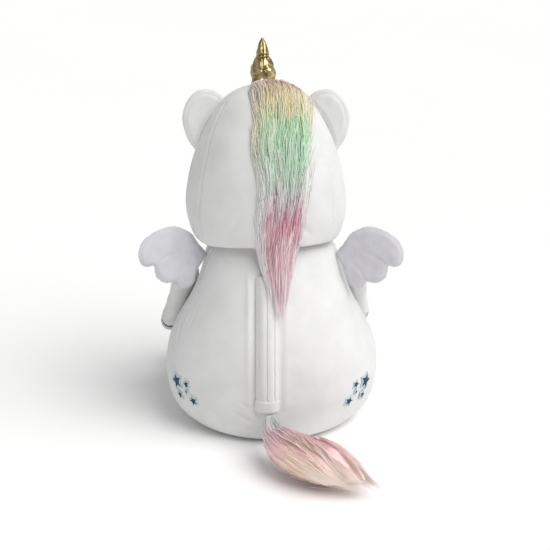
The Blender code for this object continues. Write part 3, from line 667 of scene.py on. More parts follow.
def raw_mesh(name: str, points: Array, groups: list[Array]) -> Thing:
    """A mesh object, linked to the scene.

    Args:
        name: its name.
        points: its points.
        groups: arrays of faces, each with three or four corners.

    Returns:
        The object.
    """
    mesh = bpy.data.meshes.new(name)
    mesh.vertices.add(len(points))
    mesh.vertices.foreach_set("co", points.astype(np.float32).ravel())
    corners = np.concatenate([group.ravel() for group in groups]).astype(np.int32)
    sizes = np.concatenate([np.full(len(group), group.shape[1]) for group in groups])
    mesh.loops.add(len(corners))
    mesh.loops.foreach_set("vertex_index", corners)
    mesh.polygons.add(len(sizes))
    starts = np.concatenate([[0], np.cumsum(sizes)[:-1]]).astype(np.int32)
    mesh.polygons.foreach_set("loop_start", starts)
    mesh.update(calc_edges=True)
    mesh.shade_smooth()
    piece = bpy.data.objects.new(name, mesh)
    bpy.context.scene.collection.objects.link(piece)
    return piece


def face_out(piece: Thing) -> None:
    """Turns a closed mesh's faces outwards."""
    work = bmesh.new()
    work.from_mesh(piece.data)
    bmesh.ops.recalc_face_normals(work, faces=work.faces)
    work.to_mesh(piece.data)
    work.free()
    piece.data.shade_smooth()


def closed_rings(name: str, rings: Array) -> Thing:
    """A closed body through rings of points, with the middles of its end rings as its ends.

    Args:
        name: its name.
        rings: the rings, as rows of points.

    Returns:
        The object.
    """
    rows, columns = rings.shape[:2]
    points = np.concatenate([rings.reshape(-1, 3), [rings[0].mean(0), rings[-1].mean(0)]])
    piece = raw_mesh(name, points, [grid_faces(rows, columns, True), fans(rows, columns)])
    face_out(piece)
    return piece


def frames_along(line: Array, side: Array) -> tuple[Array, Array]:
    """Two directions square to a line at each of its points.

    Args:
        line: the line's points.
        side: the direction that the first of them keeps closest to.

    Returns:
        The direction across and the direction up, at each point.
    """
    ahead = unit(np.gradient(line, axis=0))
    across = unit(side - ahead * (ahead @ side)[:, None])
    return across, np.cross(ahead, across)


def tube(
    name: str, line: Array, radius: Array | float, columns: int = 8, side: Array | None = None,
) -> Thing:
    """A round thread or bar along a line.

    Args:
        name: its name.
        line: the points that it follows.
        radius: its radius at each point, in metres.
        columns: how many sides it has.
        side: a direction that isn't along the line.

    Returns:
        The object.
    """
    across, up = frames_along(line, np.array((0.31, 0.2, 0.93)) if side is None else side)
    angle = np.arange(columns) * TURN / columns
    radius = np.broadcast_to(radius, (len(line),))
    ring = across[:, None] * np.cos(angle)[None, :, None] + up[:, None] * np.sin(angle)[None, :, None]
    rings = line[:, None] + ring * radius[:, None, None]
    return closed_rings(name, rings)


def many_tubes(lines: Array, radii: Array, columns: int, up: Array | None = None) -> tuple[Array, Array]:
    """Points and faces of many thin tubes at once.

    Args:
        lines: the tubes' lines, as tube, point and x, y, z.
        radii: a radius for each point of each, or half the width of a flat one.
        columns: how many sides they have.
        up: for flat ones, the direction that each point faces.

    Returns:
        All the points, and all the squares.
    """
    count, steps = lines.shape[:2]
    ahead = unit(np.gradient(lines, axis=1))
    flat = 1.0 if up is None else 0.35
    across = unit(np.cross(ahead, np.array((0.21, 0.13, 0.97)) if up is None else up))
    up = np.cross(across, ahead)
    angle = np.arange(columns) * TURN / columns + TURN / 4
    ring = across[:, :, None] * np.cos(angle)[:, None] + up[:, :, None] * np.sin(angle)[:, None] * flat
    points = lines[:, :, None] + ring * radii[:, :, None, None]
    faces = grid_faces(steps, columns, True)[:, ::-1]
    offsets = (np.arange(count) * steps * columns)[:, None, None]
    return points.reshape(-1, 3), (faces[None] + offsets).reshape(-1, 4)


def set_values(piece: Thing, name: str, values: Array) -> None:
    """Gives each point of a piece's mesh a value that its finish reads."""
    made = piece.data.attributes.new(name, "FLOAT", "POINT")
    made.data.foreach_set("value", np.asarray(values, np.float32).ravel())


def dress(piece: Thing, finish: Finish) -> Thing:
    """Gives a piece its finish.

    Args:
        piece: the piece.
        finish: its finish.

    Returns:
        The piece.
    """
    piece.data.materials.clear()
    piece.data.materials.append(finish.make())
    log.info("%s: %d faces", piece.name, len(piece.data.polygons))
    return piece


def inflate(piece: Thing, voxel: float, pressure: float, cap: float) -> None:
    """Puffs a closed piece up as stuffed cloth, then smooths it with one subdivision.

    Args:
        piece: the piece, whose mesh is replaced.
        voxel: the size of its new squares, in millimetres.
        pressure: how hard the stuffing presses.
        cap: how far a point may move, in millimetres.
    """
    apply_modifier(piece, "REMESH", mode="VOXEL", voxel_size=voxel * MM, use_smooth_shade=True)
    rest = read_points(piece)
    cloth = piece.modifiers.new("stuffing", "CLOTH")
    cloth.settings.quality = 4
    cloth.settings.mass = 0.15
    cloth.settings.tension_stiffness = 12
    cloth.settings.compression_stiffness = 12
    cloth.settings.bending_stiffness = 0.4
    cloth.settings.use_pressure = True
    cloth.settings.uniform_pressure_force = pressure
    cloth.settings.effector_weights.gravity = 0
    scene = bpy.context.scene
    for frame in range(1, 21):
        scene.frame_set(frame)
    graph = bpy.context.evaluated_depsgraph_get()
    moved = piece.evaluated_get(graph)
    found = np.empty(len(rest) * 3, np.float32)
    moved.data.vertices.foreach_get("co", found)
    piece.modifiers.remove(cloth)
    shift = found.reshape(-1, 3) - rest
    reach = np.linalg.norm(shift, axis=1, keepdims=True)
    shift *= np.minimum(1.0, cap * MM / np.maximum(reach, 1e-9))
    write_points(piece, rest + np.nan_to_num(shift))
    scene.frame_set(1)
    apply_modifier(piece, "SUBSURF", levels=1, render_levels=1)


def apply_modifier(piece: Thing, kind: str, **settings: object) -> None:
    """Adds a modifier to a piece and makes its result the piece's mesh.

    Args:
        piece: the piece.
        kind: the modifier's type.
        **settings: what to set on it.
    """
    modifier = piece.modifiers.new("work", kind)
    for name, value in settings.items():
        setattr(modifier, name, value)
    graph = bpy.context.evaluated_depsgraph_get()
    made = bpy.data.meshes.new_from_object(piece.evaluated_get(graph))
    piece.modifiers.remove(modifier)
    piece.data = made
    made.shade_smooth()


def read_points(piece: Thing) -> Array:
    """The points of a piece's mesh."""
    found = np.empty(len(piece.data.vertices) * 3, np.float32)
    piece.data.vertices.foreach_get("co", found)
    return found.reshape(-1, 3).astype(float)


def write_points(piece: Thing, points: Array) -> None:
    """Moves the points of a piece's mesh."""
    piece.data.vertices.foreach_set("co", points.astype(np.float32).ravel())
    piece.data.update()


def read_normals(piece: Thing) -> Array:
    """The outward directions at a piece's points."""
    found = np.empty(len(piece.data.vertices) * 3, np.float32)
    piece.data.vertices.foreach_get("normal", found)
    return found.reshape(-1, 3).astype(float)


# --------------------------------------------------------------------------- sewn skins


@dataclass(frozen=True)
class Fold:
    """A seam or crease on a form: corners as angle in degrees and height in millimetres."""

    line: tuple[tuple[float, float], ...]
    depth: float
    width: float
    fades: bool = True


@dataclass
class Skin:
    """A sewn, stuffed skin over a form: dense rows of points, pressed in along its folds."""

    name: str
    form: Form
    body: str
    nodes: tuple[str, ...]
    folds: tuple[Fold, ...]
    rim_distance: float
    seed: int
    lumps: float = 0.7

    def angles(self) -> Array:
        """The angles of its columns."""
        return np.linspace(0, TURN, 300, endpoint=False)

    def rows(self, angle: Array) -> tuple[Array, Array]:
        """Its rows of points and the t of each, from low to high, without their caps."""
        raise NotImplementedError

    def relief(self, angle: Array, points: Array) -> Array:
        """How far each point is lifted, in millimetres."""
        height = self.lumps * ripple(points, 0.075, self.seed) + 0.08 * ripple(points, 0.02, self.seed + 1)
        radius = np.linalg.norm(points[..., :2] - np.array((self.form.centre_x * MM, 0.0)), axis=-1) / MM
        degrees = np.degrees((angle + math.pi) % TURN - math.pi)
        for fold in self.folds:
            line = smooth_line(np.array(fold.line, float), 24)
            scale = np.radians(1.0) * radius
            flat = np.stack([degrees * scale, points[..., 2] / MM], -1)
            best = np.full(radius.shape, np.inf)
            along = np.zeros(radius.shape)
            for k in range(len(line) - 1):
                start = np.stack([line[k, 0] * scale, np.full(radius.shape, line[k, 1])], -1)
                turn, rise = line[k + 1] - line[k]
                way = np.stack([turn * scale, np.full(radius.shape, rise)], -1)
                share = ((flat - start) * way).sum(-1) / np.maximum((way * way).sum(-1), 1e-9)
                share = np.clip(share, 0, 1)
                gap = np.linalg.norm(flat - start - share[..., None] * way, axis=-1)
                nearer = gap < best
                best = np.where(nearer, gap, best)
                along = np.where(nearer, (k + share) / (len(line) - 1), along)
            strength = np.sin(np.clip(along, 0.02, 0.98) * math.pi) ** 0.6 if fold.fades else 1.0
            height += bump(best, fold.depth, fold.width) * strength
            pucker = np.sin(along * len(line) * 5.0 + 3.0 * ripple(points, 0.03, self.seed + 2))
            height += 0.12 * fold.depth * pucker * np.exp(-((best / (5 * fold.width)) ** 2))
        return height

    def build(self) -> Thing:
        """Makes the skin, rides it on its body and hides the nodes that it stands for.

        Returns:
            The skin.
        """
        angle = self.angles()
        points, free = self.rows(angle)
        wide = np.broadcast_to(angle, points.shape[:2])
        across = np.roll(points, -1, axis=1) - np.roll(points, 1, axis=1)
        normal = unit(np.cross(np.gradient(points, axis=0), across))
        points = points + normal * (self.relief(wide, points) * free)[..., None] * MM
        piece = closed_rings(self.name, points)
        dress(piece, WHITE_PLUSH)
        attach(piece, self.body)
        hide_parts(*self.nodes)
        return piece

    def dome(self, ring: Array, count: int, way: float) -> Array:
        """Rows from a ring to near the pole of the ball round the neck's pivot.

        Args:
            ring: the ring's points.
            count: how many rows.
            way: 1 from the pole down to the ring, -1 from the ring up to the pole.

        Returns:
            The rows.
        """
        pivot = np.array((0.0, 0.0, NECK_Z * MM))
        arm = unit(ring - pivot)
        reach = np.linalg.norm(ring - pivot, axis=1)[:, None]
        pole = np.array((0.0, 0.0, 1.0))
        polar = np.arccos(np.clip(arm @ pole, -1, 1))[:, None]
        found = []
        for share in np.linspace(0.06, 0.94, count):
            kept = share if way > 0 else 1 - share
            turned = np.sin((1 - kept) * polar) * pole + np.sin(kept * polar) * arm
            found.append(pivot + unit(turned) * reach)
        return np.array(found)


def soften(points: Array, row: int, reach: int, rounds: int) -> Array:
    """Rounds a grid off round one of its rows.

    Args:
        points: the grid.
        row: the row with the edge.
        reach: how many rows to either side move.
        rounds: how often it is smoothed.

    Returns:
        The softer grid.
    """
    low, high = max(row - reach, 1), min(row + reach, len(points) - 1)
    for _ in range(rounds):
        middle = (points[low - 1 : high - 1] + points[low + 1 : high + 1]) / 2
        points[low:high] = points[low:high] * 0.5 + middle * 0.5
    return points


@dataclass
class TorsoSkin(Skin):
    """The body's skin, open along its back for the zip.

    Each row of ridges is a valley and the ridge beside it, as height, place across and width.
    """

    opening: float = 4.1
    opening_depth: float = 5.4
    ridges: tuple[tuple[tuple[float, float, float], ...], ...] = (
        ((-1.9, 12.0, 3.8), (1.5, 18.0, 2.6)),
        ((-0.7, -14.5, 2.6), (0.5, -19.0, 3.5)),
    )

    def angles(self) -> Array:
        """The angles of its columns, closest together beside the zip."""
        fine = np.linspace(-0.10, 0.17, 120)
        coarse = np.linspace(0.17, TURN - 0.10, 250)[1:-1]
        return np.concatenate([fine, coarse])

    def rows(self, angle: Array) -> tuple[Array, Array]:
        """Rows from the middle of the seat up to the pole under the head."""
        foot = self.form.on(angle, np.zeros(len(angle)))
        shares = (0.1, 0.4, 0.7, 0.9, 0.97)
        base = [foot * np.array((k, k, 0)) + np.array((0, 0, 0.4 * MM * (1 - k))) for k in shares]
        levels = self.form.t_at(np.arange(0.0, 178.0, 1.6))
        up = [self.form.on(angle, np.full(len(angle), t)) for t in levels]
        high = self.form.t_at_distance(angle, self.rim_distance, float(self.form.t_at(185.0)), 11.0)
        start = float(self.form.t_at(178.0))
        neck = [self.form.on(angle, start + (high - start) * k) for k in np.linspace(0, 1, 16)]
        rim = len(base) + len(up) + len(neck)
        cap = self.dome(neck[-1], 14, -1)
        points = np.concatenate([base, up, neck, cap])
        points = soften(points, rim - 1, 6, 14)
        free = np.ones(points.shape[:2])
        free[: len(base) + 1] = 0.0
        free[len(base) + 1 : len(base) + 6] *= np.linspace(0.15, 0.9, 5)[:, None]
        free[rim:] = 0.0
        return points, free

    def relief(self, angle: Array, points: Array) -> Array:
        """Adds the zip's channel and the ridges of cloth beside it to the folds."""
        height = super().relief(angle, points)
        x, z = points[..., 0] / MM - ZIP_X, points[..., 2] / MM
        back = (points[..., 1] > 0).astype(float)
        ends = np.clip((z - 46.0) / 2.0, 0, 1) * np.clip((178.0 - z) / 2.0, 0, 1) * back
        calm = np.exp(-((x / 15.0) ** 4)) * ends
        height *= 1 - calm
        long_ends = np.clip((z - 40.0) / 14.0, 0, 1) * np.clip((186.0 - z) / 12.0, 0, 1) * back
        for (low, low_x, low_wide), (high, high_x, high_wide) in self.ridges:
            valley = low * np.exp(-(((x - low_x) / low_wide) ** 2))
            ridge = high * np.exp(-(((x - high_x) / high_wide) ** 2))
            height += long_ends * (valley + ridge)
        inside = np.clip((self.opening + 0.35 - np.abs(x)) / 0.7, 0, 1)
        return height * (1 - inside * ends) - self.opening_depth * inside * ends


@dataclass
class HeadSkin(Skin):
    """The head's skin, closed underneath by the ball that sits on the neck."""

    def rows(self, angle: Array) -> tuple[Array, Array]:
        """Rows from the pole over the neck up to the crown."""
        low = self.form.t_at_distance(angle, self.rim_distance, 0.0, 5.0)
        start = float(self.form.t_at(222.0))
        neck = [self.form.on(angle, low + (start - low) * k) for k in np.linspace(0, 1, 18)]
        cap = self.dome(neck[0], 14, 1)
        heights = np.concatenate([np.arange(223.5, 352.0, 1.6), np.linspace(353, 360.4, 9)])
        up = [self.form.on(angle, np.full(len(angle), t)) for t in self.form.t_at(heights)]
        points = np.concatenate([cap, neck, up])
        points = soften(points, len(cap), 7, 16)
        free = np.ones(points.shape[:2])
        free[: len(cap)] = 0.0
        free[-8:] *= np.linspace(0.9, 0.0, 8)[:, None]
        return points, free


# --------------------------------------------------------------------------- padded shapes


@dataclass
class Pad:
    """A flat stuffed shape, such as an ear or a wing: an outline in its own plane, in millimetres."""

    name: str
    origin: Array
    along: Array
    out: Array
    outline: tuple[tuple[float, float], ...]
    front: float
    back: float
    edge: float
    finish: Finish
    slot: str
    nodes: tuple[str, ...]
    creases: tuple[tuple[tuple[float, float], ...], ...] = ()
    rim_stitch: float = 0.0
    crease_depth: float = 0.6
    voxel: float = 1.7
    pressure: float = 3.0
    cap: float = 2.0
    seed: int = 5

    def build(self) -> Thing:
        """Makes the shape, puffs it up, then presses its creases and stitching in.

        Returns:
            The piece, which rides on nothing yet.
        """
        loop = smooth_line(np.array(self.outline, float), 200, closed=True)
        centre = loop.mean(0)
        face = np.cross(self.along, self.out)
        shares = np.concatenate([np.linspace(0.04, 0.86, 16), np.linspace(0.88, 1.0, 9)])
        rings = []
        for side, thickness in ((1, self.front), (-1, self.back)):
            half = []
            for share in shares:
                flat = centre + (loop - centre) * share
                gap, _ = line_distance(flat, np.concatenate([loop, loop[:1]]))
                part = np.clip(gap / self.edge, 0, 1)
                lift = side * thickness * np.sqrt(1 - (1 - part) ** 2)
                half.append(self.place(flat, lift, face))
            rings.append(np.array(half))
        both = np.concatenate([rings[0], rings[1][::-1][1:]])
        piece = closed_rings(self.name, both)
        inflate(piece, self.voxel, self.pressure, self.cap)
        self.press(piece, loop)
        dress(piece, self.finish)
        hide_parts(*self.nodes)
        return piece

    def place(self, flat: Array, lift: Array, face: Array) -> Array:
        """Points in the row frame from places in the plane and heights over it, in millimetres."""
        level = flat[..., :1] * self.along + flat[..., 1:] * self.out
        return self.origin + (level + lift[..., None] * face) * MM

    def press(self, piece: Thing, loop: Array) -> None:
        """Sinks the creases and the stitching along the rim into both sides."""
        points = read_points(piece)
        local = (points - self.origin) / MM
        flat = np.stack([local @ self.along, local @ self.out], -1)
        gap, _ = line_distance(flat, np.concatenate([loop, loop[:1]]))
        height = 0.25 * ripple(points, 0.016, self.seed) * np.clip(gap / 5, 0, 1)
        for crease in self.creases:
            away, where = line_distance(flat, smooth_line(np.array(crease, float), 16))
            height += bump(away, self.crease_depth, 1.5) * np.clip(1.15 - where, 0, 1)
        if self.rim_stitch:
            height += bump(gap - self.rim_stitch, 0.4, 1.2)
            height += 0.18 * np.sin((flat[:, 0] + flat[:, 1]) * 2.2) * np.exp(-(((gap - 2.0) / 1.6) ** 2))
        height *= np.clip(gap / 1.2, 0, 1)
        write_points(piece, points + read_normals(piece) * height[:, None] * MM)


EAR_OUTLINE = (
    (-30, -7), (-35, 2), (-33, 13), (-26, 22), (-13, 26), (2, 24), (14, 17), (23, 8), (28, -1), (30, -8),
    (10, -4), (-10, -4),
)
WING_OUTLINE = (
    (-3, 1), (5, 13), (14, 26), (30, 34.5), (44, 34), (56, 29.5), (66, 22), (71, 10),
    (69, -2), (63, -6.5), (56, -7.5), (53, -19), (43, -27), (32, -27.5),
    (27, -34), (18, -34.5), (11, -29), (8, -20), (2.5, -9),
)
WING_CREASES = (
    ((56, -7.5), (44, 3), (24, 9)),
    ((32, -27.5), (25, -12), (12, -2)),
    ((9, -22), (8, -8), (7, 6)),
)


@dataclass
class Ears:
    """Two ears, each a plush back and a pink lining sewn round the edge."""

    root_z: float = 320.0
    thickness: float = 9.0

    def build(self, form: Form) -> None:
        """Makes both ears.

        Args:
            form: the head, that they are sewn to.
        """
        t = form.t_at(self.root_z)
        for label, side in (("left", 1.0), ("right", -1.0)):
            angle = side * math.pi / 2
            out = form.normal(np.array(angle), t)
            out = unit(np.array((out[0], 0.0, out[2])))
            along = np.array((side * out[2], 0.0, -abs(out[0])))
            root = form.point(angle, t, 2.0 * MM)
            toward = np.cross(along, out)
            back_first = toward[1] > 0
            for finish, slot in ((WHITE_PLUSH, "white_plush"), (PINK_LINING, "lining")):
                lined = slot == "lining"
                name = f"ear_{label}_{'lining' if lined else 'back'}"
                thick, thin = self.thickness / 2 * (0.8 if lined else 1.0), 0.6
                forward = lined != back_first
                shrink = 0.93 if lined else 1.0
                outline = tuple((u * shrink, 1.0 * lined + v * shrink) for u, v in EAR_OUTLINE)
                front, back = (thick, thin) if forward else (thin, thick)
                pad = Pad(
                    name, root, along, out, outline, front, back, 9.0, finish, slot, (name,),
                    rim_stitch=2.2 if lined else 4.6, voxel=1.3, pressure=2.0, cap=0.8, seed=11,
                )
                piece = pad.build()
                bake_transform(piece)


@dataclass
class Wings:
    """Two quilted wings with scalloped feathers, sewn to the shoulders."""

    root: tuple[float, float, float] = (69.0, 14.0, 185.0)
    sweep: float = math.radians(20)
    thickness: float = 8.0

    def build(self) -> None:
        """Makes both wings."""
        for label, side in (("left", 1.0), ("right", -1.0)):
            root = np.array((side * self.root[0], self.root[1], self.root[2])) * MM
            along = np.array((side * math.cos(self.sweep), math.sin(self.sweep), 0.0))
            pad = Pad(
                f"wing_{label}", root, along, np.array((0.0, 0.0, 1.0)), WING_OUTLINE,
                self.thickness / 2 - 0.6, self.thickness / 2 - 0.6, 11.0,
                WING_CLOTH, "wing_satin", (f"wing_{label}",), creases=WING_CREASES, rim_stitch=2.6,
                voxel=1.6, pressure=3.0, cap=1.2, seed=21 if side > 0 else 22,
            )
            piece = pad.build()
            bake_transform(piece)


@dataclass
class Limb:
    """A stuffed arm or leg: a rounded bar with a hoof sewn to its end."""

    name: str
    start: Array
    aim: Array
    side: Array
    length: float
    half_width: float
    half_height: float
    hoof: Finish = PINK_LINING
    hoof_slot: str = "lining"
    hoof_depth: float = 14.0
    seed: int = 3

    def shape(self, low: float, high: float, count: int) -> Array:
        """Rings of the bar between two places along it, in millimetres."""
        near = min(self.half_width, self.half_height)
        across = unit(self.side - self.aim * (self.side @ self.aim))
        up = np.cross(self.aim, across)
        angle = np.linspace(0, TURN, 72, endpoint=False)
        rings = []
        for place in np.linspace(low, high, count):
            end = np.clip(max(-place / near, (place - self.length) / near, 0.0), 0.0, 1.0)
            waist = 1 - 0.07 * math.sin(math.pi * np.clip(place / self.length, 0, 1))
            share = math.sqrt(max(1 - end**2, 0.0)) * waist
            oval = across * (self.half_width * share * np.cos(angle))[:, None]
            oval = oval + up * (self.half_height * share * np.sin(angle))[:, None]
            rings.append(self.start + (self.aim * place + oval) * MM)
        return np.array(rings)

    def build(self, parent: str, body: str) -> None:
        """Makes the limb and its hoof.

        Args:
            parent: the body that the limb is sewn to; not used.
            body: the limb's own body.
        """
        near = min(self.half_width, self.half_height)
        split = self.length + near - self.hoof_depth
        rings = self.shape(-near * 0.985, split + 0.6, 60)
        limb = closed_rings(self.name, rings)
        inflate(limb, 2.2, 2.5, 1.0)
        points = read_points(limb)
        height = 0.45 * ripple(points, 0.022, self.seed) + 0.2 * ripple(points, 0.011, self.seed + 1)
        away = (points - self.start) @ self.aim / MM - split
        height += np.where(np.abs(away) < 8, -0.9 * np.exp(-((away / 1.6) ** 2)), 0)
        write_points(limb, points + read_normals(limb) * height[:, None] * MM)
        dress(limb, WHITE_PLUSH)
        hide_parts(self.name)
        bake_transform(limb)
        hoof = closed_rings(f"{self.name}_hoof", self.shape(split + 0.2, self.length + near * 0.995, 28))
        points = read_points(hoof)
        away = (points - self.start) @ self.aim / MM - split
        height = -0.8 * np.exp(-((away / 1.4) ** 2)) + 0.2 * ripple(points, 0.012, self.seed + 2)
        write_points(hoof, points + read_normals(hoof) * height[:, None] * MM)
        dress(hoof, self.hoof)
        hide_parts(f"{self.name}_hoof")
        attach(hoof, body)


# --------------------------------------------------------------------------- horn


@dataclass
class Horn:
    """A stuffed cone of gold cloth, with a seam up its back and a thread wound round it."""

    base: tuple[float, float, float] = (8.0, -32.0, 343.0)
    tip: tuple[float, float, float] = (9.0, -47.0, 399.0)
    profile: tuple[tuple[float, float], ...] = (
        (0, 14), (0.12, 14), (0.26, 11.5), (0.38, 13), (0.52, 10.8), (0.68, 6.2), (0.72, 6.6),
        (0.86, 4.4), (0.97, 1.6), (1.0, 0.5),
    )
    turns: float = 2.0
    thread: tuple[float, float] = (0.635, 0.735)

    def radius(self, share: Array) -> Array:
        """Its radius, in millimetres, at shares of its height."""
        table = np.array(self.profile)
        fine = smooth_line(table, 200)
        return np.interp(share, fine[:, 0], fine[:, 1])

    def build(self) -> None:
        """Makes the cone, its seam and its thread, which ride on the head."""
        base, tip = np.array(self.base) * MM, np.array(self.tip) * MM
        axis = tip - base
        way = unit(axis)
        side = np.array((1.0, 0.0, 0.0))
        front = np.cross(way, side)
        shares = np.linspace(0.0, 0.995, 110)
        angle = np.linspace(0, TURN, 120, endpoint=False)
        radial = side * np.cos(angle)[:, None] + front * np.sin(angle)[:, None]
        rings = np.array([base + axis * s + radial * self.radius(np.array(s)) * MM for s in shares])
        grid_share = shares[:, None] + 0 * angle
        wide = np.broadcast_to(angle, grid_share.shape)
        rise = (grid_share - self.thread[0]) / (self.thread[1] - self.thread[0]) * TURN * self.turns
        helix = np.cos((wide - rise))
        wrapped = np.exp(-(((grid_share - 0.685) / 0.05) ** 2))
        height = -0.8 * np.clip(helix, 0, 1) ** 4 * wrapped
        off_seam = (wide - math.pi / 2 + math.pi) % TURN - math.pi
        seam = np.exp(-((off_seam * self.radius(grid_share) / 1.1) ** 2))
        height -= 1.3 * seam * np.clip((0.97 - grid_share) / 0.1, 0, 1)
        crinkle = np.abs(ripple(rings, 0.017, 41)) - 0.3 + 0.35 * np.abs(ripple(rings, 0.008, 42))
        height += 1.3 * crinkle * np.clip(self.radius(grid_share) / 11, 0.1, 1)
        rings = rings + np.broadcast_to(radial, rings.shape) * height[..., None] * MM
        cone = closed_rings("horn_cone", rings)
        dress(cone, GOLD_CLOTH)
        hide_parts("horn_cone")
        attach(cone, "head")
        steps = np.linspace(0, 1, 220)
        share = self.thread[0] + (self.thread[1] - self.thread[0]) * steps
        turn = steps * TURN * self.turns
        reach = (self.radius(share) - 0.1) * MM
        outward = side * np.cos(turn)[:, None] + front * np.sin(turn)[:, None]
        line = base + axis * share[:, None] + outward * reach[:, None]
        thread = tube("horn_thread", line, 0.55 * MM, 8, way)
        dress(thread, GOLD_THREAD)
        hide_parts("horn_thread")
        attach(thread, "head")


# --------------------------------------------------------------------------- fur


